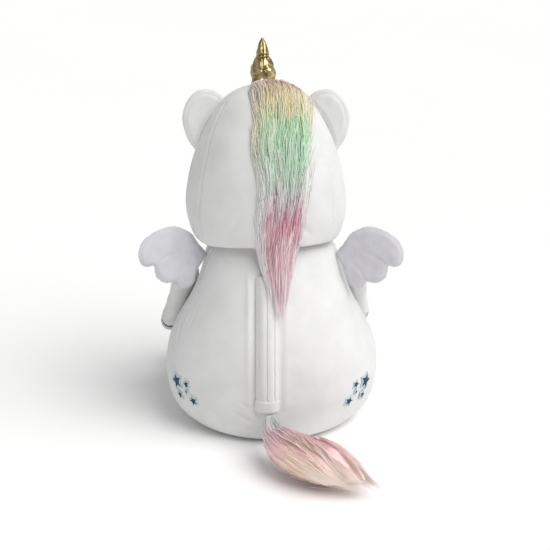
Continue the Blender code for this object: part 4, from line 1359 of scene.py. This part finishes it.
@dataclass
class Fur:
    """Long dyed fur along a path, combed into locks of fine tapering strands.

    The profile's rows are place along the path from 0 to 1, sideways offset, half width and thickness.
    """

    name: str
    path: Array
    side: Array
    profile: tuple[tuple[float, float, float, float], ...]
    finish: Finish
    slot: str
    locks: int
    strands: int
    lengths: tuple[float, float]
    roots: tuple[float, float]
    seed: int
    round_back: float = 0.0
    floor: float = 0.0
    strand_radius: float = 0.46
    steps: int = 11
    all_round: bool = False
    line: Array = field(init=False)
    reach: Array = field(init=False)

    def __post_init__(self) -> None:
        """Lays the path out evenly."""
        self.line = smooth_line(self.path, 240)
        self.reach = np.linspace(0, 1, 240)

    def size(self) -> float:
        """The path's length, in millimetres."""
        return float(np.linalg.norm(np.diff(self.line, axis=0), axis=1).sum() / MM)

    def value(self, place: Array, column: int) -> Array:
        """A column of the profile at places along the path."""
        table = np.array(self.profile)
        fine = smooth_line(table, 120)
        return np.interp(place, fine[:, 0], fine[:, column])

    def spot(self, place: Array, across: Array, high: Array) -> Array:
        """Points in the row frame.

        Args:
            place: places along the path.
            across: places across it, from -1 to 1 of its half width.
            high: heights over it, in millimetres.

        Returns:
            The points.
        """
        beside, up = frames_along(self.line, self.side)
        over = np.maximum(place - 1.0, 0.0)
        inside = np.clip(place, 0, 1)
        end = unit(self.line[-1:] - self.line[-6:-5])[0]
        found = []
        for array in (self.line, beside, up):
            found.append(np.stack([np.interp(inside, self.reach, array[:, k]) for k in range(3)], -1))
        centre, beside, up = found
        reach = self.value(inside, 1) + across * self.value(inside, 2)
        drop = self.round_back * reach**2 / 150.0
        points = centre + (beside * reach[..., None] + up * (high - drop)[..., None]) * MM
        points = points + end * over[..., None] * self.size() * MM
        if self.floor:
            low = self.floor * MM
            resting = low + 0.1 * MM * (1 + np.sin(across * 40))
            points[..., 2] = np.where(points[..., 2] < low, resting, points[..., 2])
        return points

    def core(self) -> Thing:
        """The dense underfur, a smooth body inside the strands."""
        places = np.linspace(0.01, 0.97, 120)
        angle = np.linspace(0, TURN, 40, endpoint=False)
        p, a = np.meshgrid(places, angle, indexing="ij")
        fade = np.clip((1.0 - p) / 0.25, 0.1, 1) ** 0.7 * np.clip((p + 0.02) / 0.05, 0.3, 1)
        thick = self.value(p, 3) * (1.0 if self.all_round else 0.5)
        middle = 0.0 if self.all_round else 0.5
        high = thick * (0.74 if self.all_round else 0.6) * fade * (np.sin(a) + 0.6 * middle)
        points = self.spot(p, 0.84 * np.cos(a) * fade, high)
        piece = closed_rings(f"{self.name}_underfur", points)
        draw = ripple(points, 0.02, self.seed + 9)
        total = np.concatenate([p.ravel(), [0.0, 1.0]])
        set_values(piece, "along", total)
        set_values(piece, "side", np.concatenate([(np.abs(np.cos(a)) ** 4).ravel(), [0.0, 0.0]]))
        set_values(piece, "tone_and_depth_shade", np.concatenate([(0.8 + 0.15 * draw).ravel(), [0.8, 0.8]]))
        return dress(piece, self.finish)

    def comb(self) -> Thing:
        """The strands, in locks that gather towards their tips."""
        draw = np.random.default_rng(self.seed)
        count = self.locks * self.strands
        size = self.size()
        lock_root = draw.uniform(*self.roots, self.locks)
        lock_across = draw.uniform(-1, 1, self.locks) * 0.92
        lock_layer = draw.uniform(0.45, 1.0, self.locks)
        lock_length = draw.uniform(*self.lengths, self.locks)
        lock_drift = draw.normal(0, 0.12, self.locks)
        lock_tone = draw.uniform(0, 1, self.locks)
        lock_turn = draw.uniform(0, TURN, self.locks)
        lock_wave = draw.uniform(0.02, 0.09, self.locks)
        which = np.repeat(np.arange(self.locks), self.strands)
        root = lock_root[which] + draw.normal(0, 0.012, count)
        root = np.clip(root, 0.0, self.roots[1] + 0.02)
        start = lock_across[which] + draw.normal(0, 0.13, count)
        goal = lock_across[which] * 0.96 + lock_drift[which] + draw.normal(0, 0.035, count)
        length = lock_length[which] * draw.uniform(0.72, 1.12, count) / size
        layer = np.clip(lock_layer[which] + draw.normal(0, 0.12, count), 0.05, 1.15)
        turn = lock_turn[which] + draw.normal(0, 0.3, count)
        part = np.linspace(0, 1, self.steps)[None, :]
        place = root[:, None] + length[:, None] * part
        gather = part**0.8
        across = start[:, None] * (1 - gather) + goal[:, None] * gather
        across = across + lock_wave[which][:, None] * np.sin(part * 4.5 + turn[:, None]) * part
        across = np.clip(across, -1.22, 1.22)
        thick = self.value(np.clip(place, 0, 1), 3)
        arch = np.sqrt(np.clip(1 - np.clip(np.abs(across), 0, 1) ** 2, 0, 1)) * 0.75 + 0.25
        if self.all_round:
            angle = turn[:, None] + 0.5 * part
            ring = layer[:, None] * (1 - 0.25 * part)
            across = across * 0.55 + 0.55 * ring * np.cos(angle)
            high = thick * ring * np.sin(angle) * arch
        else:
            rise = np.clip(part / 0.22, 0, 1) ** 0.6
            settle = 1 - 0.45 * np.clip(part - 0.35, 0, 1)
            high = thick * layer[:, None] * rise * settle * arch
        lines = self.spot(place, across, high)
        taper = 1.0 - 0.86 * np.clip((part - 0.25) / 0.75, 0, 1) ** 1.3
        radii = self.strand_radius * MM * taper * draw.uniform(0.7, 1.15, count)[:, None]
        facing = self.spot(place, across, high + 1.0) - lines
        if self.all_round:
            facing = lines - self.spot(place, 0 * across, 0 * high)
        points, faces = many_tubes(lines, radii, 3, facing)
        piece = raw_mesh(f"{self.name}_strands", points, [faces])
        shift = (draw.normal(0, 0.012, count) + 0.05 * (lock_tone[which] - 0.5))[:, None]
        along = np.clip(root[:, None] + 0.55 * length[:, None] * part + shift, 0, 1)
        edges = np.clip(np.abs(across - 0.2) - 0.62, 0, 1) / 0.4
        own = lock_tone[which][:, None]
        pale = np.clip(edges + 0.6 * (own > 0.74) + 0.25 * np.clip(part - 0.6, 0, 1), 0, 1)
        if self.all_round:
            pale = np.clip(0.5 + 0.75 * (across - 0.1) + 0.35 * (own - 0.5), 0, 1)
        # Painted shade: strands lower in the fur and nearer their roots are darker, with a random tone per
        # lock on top.
        tone_and_layer_shade = np.clip(0.4 + 0.5 * layer[:, None] + 0.3 * (own - 0.5) + 0.1 * part, 0, 1)
        for key, values in (("along", along), ("side", pale), ("tone_and_depth_shade", tone_and_layer_shade)):
            spread = np.broadcast_to(values, place.shape)[..., None]
            set_values(piece, key, np.repeat(spread, 3, axis=-1))
        return dress(piece, self.finish)


@dataclass
class Mane:
    """The fur from the horn over the crown and down the back of the head."""

    lean: float = 8.0
    standoff: float = 10.5
    end_z: float = 140.0

    def path(self, form: Form) -> Array:
        """The middle of the mane's base."""
        points = [(HEAD_X - 2, -22.0, 351.5), (HEAD_X - 3, -11.0, 357.5), (HEAD_X - 4, 4.0, 359.0)]
        places = [np.array(point) * MM for point in points]
        for z in (356, 348, 336, 320, 302, 282, 262, 240, 222):
            places.append(form.point(0.0, form.t_at(z), 0.6 * MM) - np.array((self.lean, 0, 0)) * MM)
        for z in (206, 190, 172, 156, self.end_z):
            back = float(zip_back(np.array(z))) + self.standoff - 2.5
            places.append(np.array((HEAD_X - self.lean, max(back, 64.0) if z > 195 else back, z)) * MM)
        return np.array(places)

    def build(self, form: Form) -> None:
        """Makes the mane, which rides on the head.

        Args:
            form: the head.
        """
        profile = (
            (0.0, 2, 12, 4), (0.05, 3, 19, 6), (0.1, 3, 26, 7.5), (0.2, 5, 30, 9), (0.3, 7, 29, 9),
            (0.38, 6, 29, 9), (0.5, 8, 25, 8.5), (0.64, 5, 23, 8), (0.74, 3, 20, 7), (0.82, 3, 16, 6),
            (0.9, 5, 11, 4.5), (1.0, 4, 7, 3),
        )
        fur = Fur(
            "mane", self.path(form), np.array((-1.0, 0.0, 0.0)), profile, MANE_FUR, "mane_fur",
            locks=250, strands=26, lengths=(44, 84), roots=(0.0, 0.72), seed=71, round_back=1.0,
        )
        under = fur.core()
        strands = fur.comb()
        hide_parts("mane")
        for piece in (under, strands):
            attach(piece, "head")


@dataclass
class Tail:
    """A sewn root, and a brush of fur that lies round to the toy's right."""

    root: tuple[float, float, float] = (0.0, 97.5, 33.0)
    hub: tuple[float, float, float] = (0.0, 118.5, 33.0)

    def build(self) -> None:
        """Makes the root and the brush."""
        root, hub = np.array(self.root) * MM, np.array(self.hub) * MM
        steps = np.linspace(-0.985, 0.985, 26)
        angle = np.linspace(0, TURN, 48, endpoint=False)
        rings = []
        for step in steps:
            radius = 7.2 * math.sqrt(1 - step**2) * (1 + 0.05 * math.sin(9 * step))
            centre = root + np.array((0.0, 2.5 + step * 9.5, 0.0)) * MM
            ring = np.stack([np.cos(angle) * radius, 0 * angle, np.sin(angle) * radius], -1) * MM
            rings.append(centre + ring)
        rings = np.array(rings)
        base = closed_rings("tail_root", rings)
        for key, value in (("along", 0.02), ("side", 0.1), ("tone_and_depth_shade", 0.5)):
            set_values(base, key, np.full(len(base.data.vertices), value))
        dress(base, TAIL_FUR)
        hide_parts("tail_root")
        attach(base, "tail_base")
        path = (
            (0, -23, 6), (0, -13, 4), (-2, -2, -1), (-8, 10, -6), (-19, 27, -7), (-38, 44, -7),
            (-60, 58, -8), (-80, 70, -12), (-92, 78, -17),
        )
        places = np.array([hub + np.array(p) * MM for p in path])
        profile = (
            (0.0, 0, 6, 6), (0.1, 0, 9, 9), (0.19, 0, 15, 16), (0.36, 0, 23, 22), (0.52, 0, 27, 25),
            (0.68, 0, 28, 24), (0.84, 0, 24, 20), (1.0, 0, 15, 12),
        )
        fur = Fur(
            "tail", places, np.array((1.0, 0.0, 0.0)), profile, TAIL_FUR, "tail_fur",
            locks=210, strands=28, lengths=(36, 62), roots=(0.02, 0.66), seed=91, floor=0.5, all_round=True,
        )
        under = fur.core()
        strands = fur.comb()
        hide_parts("tail_hair")
        for piece in (under, strands):
            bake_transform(piece)


# --------------------------------------------------------------------------- zip


@dataclass
class Zip:
    """The covered zip down the back: coils, slider, pull tab, two flaps and a garage for the slider."""

    form: Form
    pitch: float = 1.35

    def spot(self, x: Array, lift: Array, turn: Array) -> Array:
        """Points by the zip.

        Args:
            x: places across it, from its middle, in millimetres.
            lift: heights over the skin, in millimetres.
            turn: angles along its arc.

        Returns:
            The points.
        """
        radius = ZIP_RADIUS + lift
        y = ZIP_CENTRE_Y + radius * np.cos(turn)
        z = ZIP_CENTRE_Z + radius * np.sin(turn)
        width = self.form.at(self.form.t_at(z))[..., 1] / MM
        drop = zip_back(z) * (1 - np.sqrt(1 - ((ZIP_X + x) / width) ** 2))
        return np.stack([ZIP_X + x + 0 * z, y - drop, z], -1) * MM

    def turn(self, z: float) -> float:
        """The angle along the arc of a height in millimetres."""
        return math.asin((z - ZIP_CENTRE_Z) / ZIP_RADIUS)

    def strip(self, name: str, section: Array, low: float, high: float, count: int) -> None:
        """A soft strip of plush with the same rounded section all along a stretch of the zip.

        Args:
            name: its name.
            section: its section's outline, as place across and lift, in millimetres.
            low, high: the heights that it runs between, in millimetres.
            count: how many rings it has.
        """
        turns = np.linspace(self.turn(low), self.turn(high), count)
        loop = smooth_line(section, 64, closed=True)
        middle = loop.mean(0)
        rings = []
        for k, one in enumerate(turns):
            ends = min(k, count - 1 - k) / 4.0
            share = math.sqrt(max(1 - (1 - min(ends, 1.0)) ** 2, 0.05))
            shape = middle + (loop - middle) * share
            wobble = 0.12 * math.sin(one * 95.0) + 0.08 * math.sin(one * 241.0 + 1.0)
            rings.append(self.spot(shape[:, 0] + wobble, shape[:, 1], np.full(len(shape), one)))
        piece = closed_rings(name, np.array(rings))
        dress(piece, WHITE_PLUSH)
        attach(piece, "torso")
        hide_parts(name)

    def coil(self, label: str, side: float) -> None:
        """One edge's coil of teeth."""
        low, high = self.turn(ZIP_BOTTOM_Z + 2.4), self.turn(ZIP_TOP_Z - 2.4)
        turns = int((high - low) * ZIP_RADIUS / self.pitch)
        steps = np.linspace(0, 1, turns * 12)
        phase = steps * turns * TURN
        x = side * (1.15 + 0.95 * np.cos(phase))
        lift = -1.55 + 0.72 * np.sin(phase)
        line = self.spot(x, lift, low + (high - low) * steps)
        piece = tube(f"zip_chain_{label}", line, 0.36 * MM, 6, np.array((1.0, 0.0, 0.0)))
        dress(piece, ZIP_COIL)
        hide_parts(f"zip_chain_{label}")
        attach(piece, "torso")

    def stitches(self, name: str, x: float, lift: float, low: float, high: float, gap: float = 3.0) -> None:
        """A row of topstitching along the zip."""
        first, last = self.turn(low), self.turn(high)
        count = int((last - first) * ZIP_RADIUS / gap)
        centres = np.linspace(first, last, count)
        part = np.linspace(-0.5, 0.5, 7)
        turns = centres[:, None] + part[None, :] * gap * 0.62 / ZIP_RADIUS
        rise = lift + 0.18 * np.cos(part * math.pi)[None, :] + 0 * turns
        lines = self.spot(np.full(turns.shape, x), rise, turns)
        radii = np.broadcast_to(0.24 * MM * np.sqrt(1 - (1.9 * part) ** 2 * 0.99), turns.shape)
        points, faces = many_tubes(lines, radii, 6)
        piece = raw_mesh(name, points, [faces])
        face_out(piece)
        dress(piece, SEAM_THREAD)
        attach(piece, "torso")

    def build(self) -> None:
        """Makes every piece of the zip."""
        for label, side in (("left", 1.0), ("right", -1.0)):
            self.coil(label, side)
        left = np.array((
            (0.3, 3.9), (0.05, 4.5), (0.7, 5.0), (3.4, 5.0), (6.0, 4.0), (8.6, 2.2), (11.0, 0.1),
            (10.8, -0.6), (9.0, 0.5), (7.0, 2.2), (5.4, 3.3), (3.0, 3.7),
        ))
        right = np.array((
            (-0.35, 3.9), (-0.2, 4.6), (-1.3, 5.2), (-4.2, 5.1), (-6.2, 4.2), (-7.4, 3.1), (-8.6, 3.2),
            (-9.9, 2.5), (-11.6, 0.1), (-11.2, -0.6), (-9.2, 0.6), (-7.4, 1.9), (-5.6, 3.2), (-3.2, 3.75),
        ))
        for label, section in (("left", left), ("right", right)):
            self.strip(f"placket_{label}", section, ZIP_BOTTOM_Z - 3.0, ZIP_TOP_Z + 4.0, 150)
        self.stitches("placket_stitches_left", 7.6, 3.05, 64.0, 172.0)
        self.stitches("placket_stitches_right", -7.5, 3.1, 64.0, 172.0)
        roof = 5.4
        garage = np.array((
            (-12.2, -0.5), (-11.9, 0.8), (-9.5, 3.2), (-6.5, 4.9), (-3, roof + 0.45), (3, roof + 0.45),
            (6.5, 4.8), (9.5, 3.0), (11.9, 0.7), (12.2, -0.5), (11.0, 0.2), (9.0, 2.3), (6.2, 4.5),
            (3, roof), (-3, roof), (-6.2, 4.6), (-9.0, 2.4), (-11.0, 0.2),
        ))
        self.strip("zip_garage", garage, ZIP_BOTTOM_Z - 5.5, ZIP_BOTTOM_Z + 8.0, 44)
        self.slider()

    def slider(self) -> None:
        """The slider's body and bridge, and the pull tab that hangs from it."""
        low = self.turn(ZIP_BOTTOM_Z + 4.5)
        span = 11.0 / ZIP_RADIUS
        shares = np.linspace(0, 1, 40)
        angle = np.linspace(0, TURN, 48, endpoint=False)
        rings = []
        for share in shares:
            round_end = math.sqrt(max(1 - abs(2 * share - 1) ** 6, 0.02))
            half = (2.3 + 1.0 * math.sin(math.pi * min(share * 0.8 + 0.15, 1.0))) * round_end
            x = half * np.sign(np.cos(angle)) * np.abs(np.cos(angle)) ** 0.5
            lift = 1.9 + 0.95 * round_end * np.sign(np.sin(angle)) * np.abs(np.sin(angle)) ** 0.5
            rings.append(self.spot(x, lift, np.full(48, low + span * share)))
        body = closed_rings("zip_slider", np.array(rings))
        dress(body, ZIP_METAL)
        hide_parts("zip_slider")
        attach(body, "slider")
        middle = low + span * 0.5
        part = np.linspace(0, 1, 30)
        arch = 2.75 + 1.5 * np.sin(part * math.pi) ** 0.6
        line = self.spot(np.zeros(30), arch, middle + (part - 0.5) * 5.0 / ZIP_RADIUS)
        bridge = tube("zip_bridge", line, 0.42 * MM, 10, np.array((1.0, 0.0, 0.0)))
        dress(bridge, ZIP_METAL)
        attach(bridge, "slider")
        turn = np.linspace(0, TURN, 120, endpoint=False)
        ends = np.sign(np.sin(turn)) * np.abs(np.sin(turn)) ** 0.45
        width = np.sign(np.cos(turn)) * np.abs(np.cos(turn)) ** 0.7 * 1.15
        along = middle + (8.0 + 8.8 * ends) / ZIP_RADIUS - 0.4 / ZIP_RADIUS
        loop = self.spot(width, np.full(120, 3.95), along)
        closed = np.concatenate([loop, loop[:3]])
        ring = tube("zip_pull_tab", closed, 0.42 * MM, 8, np.array((0.0, 1.0, 0.0)))
        dress(ring, ZIP_METAL)
        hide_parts("zip_pull_tab")
        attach(ring, "pull_tab")


# --------------------------------------------------------------------------- stars and face


@dataclass
class Stars:
    """Five embroidered stars on each hip: size, angle from the back and height."""

    form: Form
    rows: tuple[tuple[float, float, float], ...] = (
        (9.5, 60, 57.5), (5.2, 50.5, 59), (5.2, 58, 42.5), (3, 51, 50), (6.2, 46, 42),
    )

    def build(self) -> None:
        """Makes the stars and their pale outlines."""
        for label, side in (("left", 1.0), ("right", -1.0)):
            for number, (size, degrees, height) in enumerate(self.rows, 1):
                self.star(f"hip_star_{label}_{number}", side, size, math.radians(degrees), height)

    def star(self, name: str, side: float, size: float, angle: float, height: float) -> None:
        """One star.

        Args:
            name: its name.
            side: 1 on the toy's left, -1 on its right.
            size: its radius, in millimetres.
            angle: its angle from the back.
            height: its height, in millimetres.
        """
        t = float(self.form.t_at(height))
        point = self.form.point
        up_rate = np.linalg.norm(point(angle, t + 0.05) - point(angle, t - 0.05)) / 0.1
        across_rate = np.linalg.norm(point(angle + 0.05, t) - point(angle - 0.05, t)) / 0.1
        corners = []
        for k in range(10):
            reach = size * (1.0 if k % 2 == 0 else 0.46)
            turn = math.pi * k / 5 + 0.4
            corners.append((reach * math.sin(turn), reach * math.cos(turn)))
        corners = np.array(corners)
        part = np.linspace(0, 1, 12, endpoint=False)[:, None]
        sides = [corners[k] * (1 - part) + corners[(k + 1) % 10] * part for k in range(10)]
        loop = np.concatenate(sides)
        for _ in range(2):
            loop = (np.roll(loop, 1, 0) + 2 * loop + np.roll(loop, -1, 0)) / 4
        rings = []
        for share in np.linspace(0.08, 1.0, 14):
            lift = 0.7 + 0.75 * math.sqrt(1 - (share * 0.99) ** 2)
            rings.append(self.place(side, angle, t, loop * share, lift, across_rate, up_rate))
        rings.append(self.place(side, angle, t, loop, -0.6, across_rate, up_rate))
        fill = closed_rings(name, np.array(rings))
        dress(fill, STAR_THREAD)
        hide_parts(name)
        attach(fill, "torso")
        edge = self.place(side, angle, t, loop * 1.06, 0.6, across_rate, up_rate)
        thread = tube(f"{name}_outline", np.concatenate([edge, edge[:3]]), 0.75 * MM, 8)
        dress(thread, PALE_THREAD)
        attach(thread, "torso")

    def place(
        self, side: float, angle: float, t: float, flat: Array, lift: float, across: float, up: float,
    ) -> Array:
        """Points on the hip from places in a star's plane, in millimetres."""
        angles = angle + flat[:, 0] * MM / across
        places = t + flat[:, 1] * MM / up
        return self.form.point(side * angles, places, lift * MM)


@dataclass
class Face:
    """A calm, plain face: a soft muzzle, two dark eyes, stitched lashes, nostrils and mouth."""

    form: Form
    muzzle_size: tuple[float, float, float] = (46.0, 34.0, 27.0)
    muzzle_centre: tuple[float, float, float] = (HEAD_X, -76.0, 228.0)
    eye_z: float = 266.0
    eye_angle: float = math.radians(136)
    eye_radius: float = 8.5
    eye_height: float = 4.5

    def build(self) -> None:
        """Makes the muzzle, the eyes and the stitched features."""
        polar = np.linspace(0.04, math.pi - 0.04, 70)
        angle = np.linspace(0, TURN, 110, endpoint=False)
        centre, size = np.array(self.muzzle_centre), np.array(self.muzzle_size)
        p, a = np.meshgrid(polar, angle, indexing="ij")
        round_off = np.sin(p) ** 0.9
        points = np.stack([
            centre[0] + size[0] * round_off * np.cos(a),
            centre[1] - size[1] * np.cos(p),
            centre[2] + size[2] * round_off * np.sin(a),
        ], -1) * MM
        dip = np.exp(-(((points[..., 0] / MM - centre[0]) / 5.0) ** 2)) * (np.cos(p) > 0) * np.cos(p)
        points[..., 1] += 1.6 * MM * dip
        points = points + 0.5 * MM * unit(points - centre * MM) * ripple(points, 0.03, 61)[..., None]
        muzzle = closed_rings("muzzle", points)
        dress(muzzle, WHITE_PLUSH)
        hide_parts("muzzle")
        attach(muzzle, "head")
        self.threads()
        for label, side in (("left", 1.0), ("right", -1.0)):
            self.eye(label, side)

    def on_muzzle(self, x: Array, z: Array, lift: float) -> Array:
        """Points on the front of the muzzle from places across and up, in millimetres."""
        centre, size = np.array(self.muzzle_centre), np.array(self.muzzle_size)
        inside = np.clip(1 - (x / size[0]) ** 2 - (z / size[2]) ** 2, 0.0, 1.0)
        forward = (size[1] + lift) * np.sqrt(inside)
        return np.stack([centre[0] + x, centre[1] - forward, centre[2] + z], -1) * MM

    def threads(self) -> None:
        """The nostrils and the mouth, in pink thread."""
        turn = np.linspace(0, TURN, 50)
        for label, side in (("left", 1.0), ("right", -1.0)):
            line = self.on_muzzle(side * 13 + 2.6 * np.cos(turn), 6 + 3.6 * np.sin(turn), 0.5)
            ring = tube(f"nostril_{label}", line, 0.9 * MM, 8)
            dress(ring, FACE_THREAD)
            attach(ring, "head")
        part = np.linspace(-1, 1, 60)
        line = self.on_muzzle(15 * part, -9 + 4.5 * part**2, 0.5)
        smile = tube("smile", line, 0.75 * MM, 8)
        dress(smile, FACE_THREAD)
        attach(smile, "head")

    def eye(self, label: str, side: float) -> None:
        """One eye and its lashes."""
        t = float(self.form.t_at(self.eye_z))
        angle = side * self.eye_angle
        out = self.form.normal(np.array(angle), np.array(t))
        across = unit(np.cross(out, np.array((0.0, 0.0, 1.0))))
        up = np.cross(across, out)
        seat = self.form.point(angle, t, 0.8 * MM)
        turns = np.linspace(0, TURN, 64, endpoint=False)
        rim = across * np.cos(turns)[:, None] + up * np.sin(turns)[:, None]
        rings = [seat - out * 2.0 * MM + rim * self.eye_radius * 0.98 * MM]
        for polar in np.linspace(math.pi / 2, 0.05, 26):
            reach, lift = self.eye_radius * math.sin(polar), self.eye_height * math.cos(polar)
            rings.append(seat + out * lift * MM + rim * reach * MM)
        piece = closed_rings(f"eye_{label}", np.array(rings))
        dress(piece, EYE_PLASTIC)
        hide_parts(f"eye_{label}")
        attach(piece, "head")
        lines = []
        for k, lean in enumerate((-0.5, 0.0, 0.5)):
            part = np.linspace(0, 1, 10)[:, None]
            way = up * math.cos(lean + 0.5 * side) + across * math.sin(lean + 0.5 * side)
            start = seat + way * (self.eye_radius + 0.3) * MM
            curl = up * part**2 * 1.5 * MM + out * 0.6 * MM - out * part * 0.6 * MM
            lines.append(start + way * part * 5.5 * MM + curl)
        radii = np.broadcast_to(0.5 * MM * (1 - 0.8 * np.linspace(0, 1, 10)), (3, 10))
        points, faces = many_tubes(np.array(lines), radii, 6)
        lashes = raw_mesh(f"lashes_{label}", points, [faces])
        face_out(lashes)
        dress(lashes, EYE_PLASTIC)
        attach(lashes, "head")


# --------------------------------------------------------------------------- the toy and its studio


TORSO_FOLDS = (
    Fold((
        (64, 206), (67, 196), (75, 170), (81, 146), (84, 132), (92, 104), (98, 76), (100, 40), (100, 4),
    ), 1.5, 1.6, False),
    Fold((
        (-64, 206), (-90, 191), (-88, 172), (-80, 156), (-84, 141), (-92, 122), (-98, 96), (-100, 60),
        (-100, 4),
    ), 1.5, 1.6, False),
    Fold(((83, 136), (77, 122), (71, 107), (66, 92)), 1.3, 2.6),
    Fold(((64, 142), (62, 128), (61, 112)), 0.9, 2.0),
    Fold(((68, 138), (66, 124), (66, 112)), 0.7, 1.8),
    Fold(((16, 52), (9, 42), (4, 33)), 1.0, 1.8),
    Fold(((22, 40), (12, 30), (6, 24)), 0.9, 2.2),
    Fold(((-12, 46), (-7, 38)), 0.6, 1.8),
    Fold(((-60, 196), (-50, 186), (-36, 182)), 0.7, 2.6),
    Fold(((52, 200), (40, 190), (28, 186)), 0.7, 2.6),
    Fold(((180, 20), (180, 80), (180, 140), (180, 190)), 1.0, 1.5),
)
HEAD_FOLDS = (
    Fold(((55, 214), (55, 240), (56, 270), (58, 300), (62, 325), (66, 344)), 1.2, 1.4, False),
    Fold(((-55, 214), (-55, 240), (-56, 270), (-58, 300), (-62, 325), (-66, 344)), 1.2, 1.4, False),
    Fold(((142, 214), (142, 260), (143, 300), (146, 335), (148, 346)), 1.2, 1.4, False),
    Fold(((-142, 214), (-142, 260), (-143, 300), (-146, 335), (-148, 346)), 1.2, 1.4, False),
    Fold(((30, 222), (22, 232), (18, 244)), 0.8, 3.0),
    Fold(((-34, 220), (-26, 230), (-20, 238)), 0.8, 3.0),
)
ARMS = (
    ("left", 1.0, math.radians(106), (0.0, -0.4, -0.9)),
    ("right", -1.0, math.radians(112), (0.0, -0.6, -0.8)),
)


@dataclass
class Unicorn:
    """The whole toy, built sub-assembly by sub-assembly."""

    torso: Form = Form(TORSO_ROWS, 0.0, True)
    head: Form = Form(HEAD_ROWS, HEAD_X)
    arm_z: float = 142.0
    arm_size: tuple[float, float, float] = (70.0, 20.0, 12.5)
    arm_gap: float = 1.0
    leg_z: float = 27.5
    leg_size: tuple[float, float, float] = (30.0, 27.0, 27.0)
    leg_gap: float = 2.0
    leg_angle: float = math.radians(147)

    def build(self) -> None:
        """Builds every sub-assembly in order."""
        backs = ("body_back_left", "body_back_right", "body_front_left", "body_front_right", "seat_panel")
        TorsoSkin("torso_skin", self.torso, "torso", backs, TORSO_FOLDS, NECK_RADIUS - 3.5, 31).build()
        panels = ("head_back_left", "head_back_right", "head_side_left", "head_side_right", "face_panel")
        HeadSkin("head_skin", self.head, "head", panels, HEAD_FOLDS, NECK_RADIUS + 1.5, 51).build()
        Face(self.head).build()
        Ears().build(self.head)
        Horn().build()
        Mane().build(self.head)
        Wings().build()
        self.arms()
        self.legs()
        Tail().build()
        Zip(self.torso).build()
        Stars(self.torso).build()

    def arms(self) -> None:
        """Makes both arms, which hang flat against the torso's sides."""
        t = self.torso.t_at(self.arm_z)
        lift = (self.arm_size[2] + self.arm_gap) * MM
        for label, side, angle, way in ARMS:
            out = self.torso.normal(np.array(side * angle), t)
            aim = unit(np.array(way) - out * (np.array(way) @ out))
            start = self.torso.point(side * angle, t, lift)
            name, across = f"arm_{label}", np.cross(aim, out)
            arm = Limb(name, start, aim, across, *self.arm_size, WING_CLOTH, "wing_satin")
            arm.build("torso", name)

    def legs(self) -> None:
        """Makes both legs, which lie forward on the floor."""
        t = self.torso.t_at(self.leg_z)
        lift = (self.leg_size[1] + self.leg_gap) * MM
        for label, side in (("left", 1.0), ("right", -1.0)):
            angle = np.array(side * self.leg_angle)
            edge = self.torso.normal(angle, t)
            edge[2] = 0.0
            start = self.torso.point(angle, t) + unit(edge) * lift
            aim = unit(np.array((side * 0.3, -0.95, 0.0)))
            leg = Limb(f"leg_{label}", start, aim, np.array((1.0, 0.0, 0.0)), *self.leg_size, seed=8)
            leg.build("torso", f"leg_{label}")


def finish_nodes(nodes: dict[str, Thing]) -> None:
    """Gives the frame's own solids that stay their finishes.

    Args:
        nodes: the frame's nodes by name.
    """
    finishes = {
        "zip_tape": ZIP_TAPE, "zip_stop": ZIP_METAL, "eye_washer": WASHER_PLASTIC,
        "neck_gusset": WHITE_PLUSH, "body_pod": STUFFING, "head_pod": STUFFING, "seat_bean_bag": STUFFING,
    }
    for name, node in nodes.items():
        for start, finish in finishes.items():
            if name.startswith(start):
                node.data.materials.clear()
                node.data.materials.append(finish.make())
                log.info("%s keeps its own shape", name)


@dataclass
class Studio:
    """A pale floor, soft lights and the camera behind the toy."""

    aim: tuple[float, float, float] = (-0.004, 0.0, 0.1575)
    azimuth: float = 180.0
    elevation: float = 20.0
    distance: float = 1.5
    frame_width: float = 0.5775
    key_way: tuple[float, float, float] = (-0.50, 0.35, 0.79)
    key_power: float = 2.4
    key_spread: float = 50.0
    key_colour: Colour = (1.0, 0.995, 0.985)
    sky: float = 0.42

    def build(self) -> None:
        """Makes the floor, the lights, the world and the camera."""
        self.floor()
        self.sun()
        world = bpy.data.worlds.new("studio")
        world.use_nodes = True
        background = world.node_tree.nodes["Background"]
        background.inputs["Color"].default_value = (1.0, 1.0, 1.0, 1.0)
        background.inputs["Strength"].default_value = self.sky
        bpy.context.scene.world = world
        bpy.context.scene.view_settings.view_transform = "Standard"
        self.camera()

    def floor(self) -> None:
        """The floor, a wide sheet with a finer middle."""
        steps = np.sinh(np.linspace(-4, 4, 41)) / math.sinh(4) * 9.0
        x, y = np.meshgrid(steps, steps, indexing="ij")
        points = np.stack([x, y, np.full(x.shape, -0.0002)], -1).reshape(-1, 3)
        floor = raw_mesh("studio_floor", points, [grid_faces(41, 41, False)])
        floor.data.materials.append(FLOOR.make())

    def sun(self) -> None:
        """The key, a wide soft light, as from a large diffuser."""
        data = bpy.data.lights.new("key", "SUN")
        data.angle = math.radians(self.key_spread)
        data.energy = self.key_power
        data.color = self.key_colour
        light = bpy.data.objects.new("key", data)
        light.rotation_euler = (-Vector(self.key_way)).to_track_quat("-Z", "Y").to_euler()
        bpy.context.scene.collection.objects.link(light)

    def camera(self) -> None:
        """The camera, level and aimed at the toy's middle."""
        around, above = math.radians(self.azimuth), math.radians(self.elevation)
        back = Vector((
            math.sin(around) * math.cos(above), -math.cos(around) * math.cos(above), math.sin(above),
        ))
        data = bpy.data.cameras.new("camera")
        data.sensor_width = 36.0
        data.lens = data.sensor_width * self.distance / self.frame_width
        camera = bpy.data.objects.new("camera", data)
        camera.location = Vector(self.aim) + back * self.distance
        camera.rotation_euler = (-back).to_track_quat("-Z", "Y").to_euler()
        bpy.context.scene.collection.objects.link(camera)
        bpy.context.scene.camera = camera


def main() -> None:
    """Builds the toy round the frame, then the studio."""
    logging.basicConfig(level=logging.INFO, format="%(name)s: %(message)s")
    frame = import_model()
    finish_nodes(frame["nodes"])
    Unicorn().build()
    Studio().build()


if __name__ == "__main__":
    main()
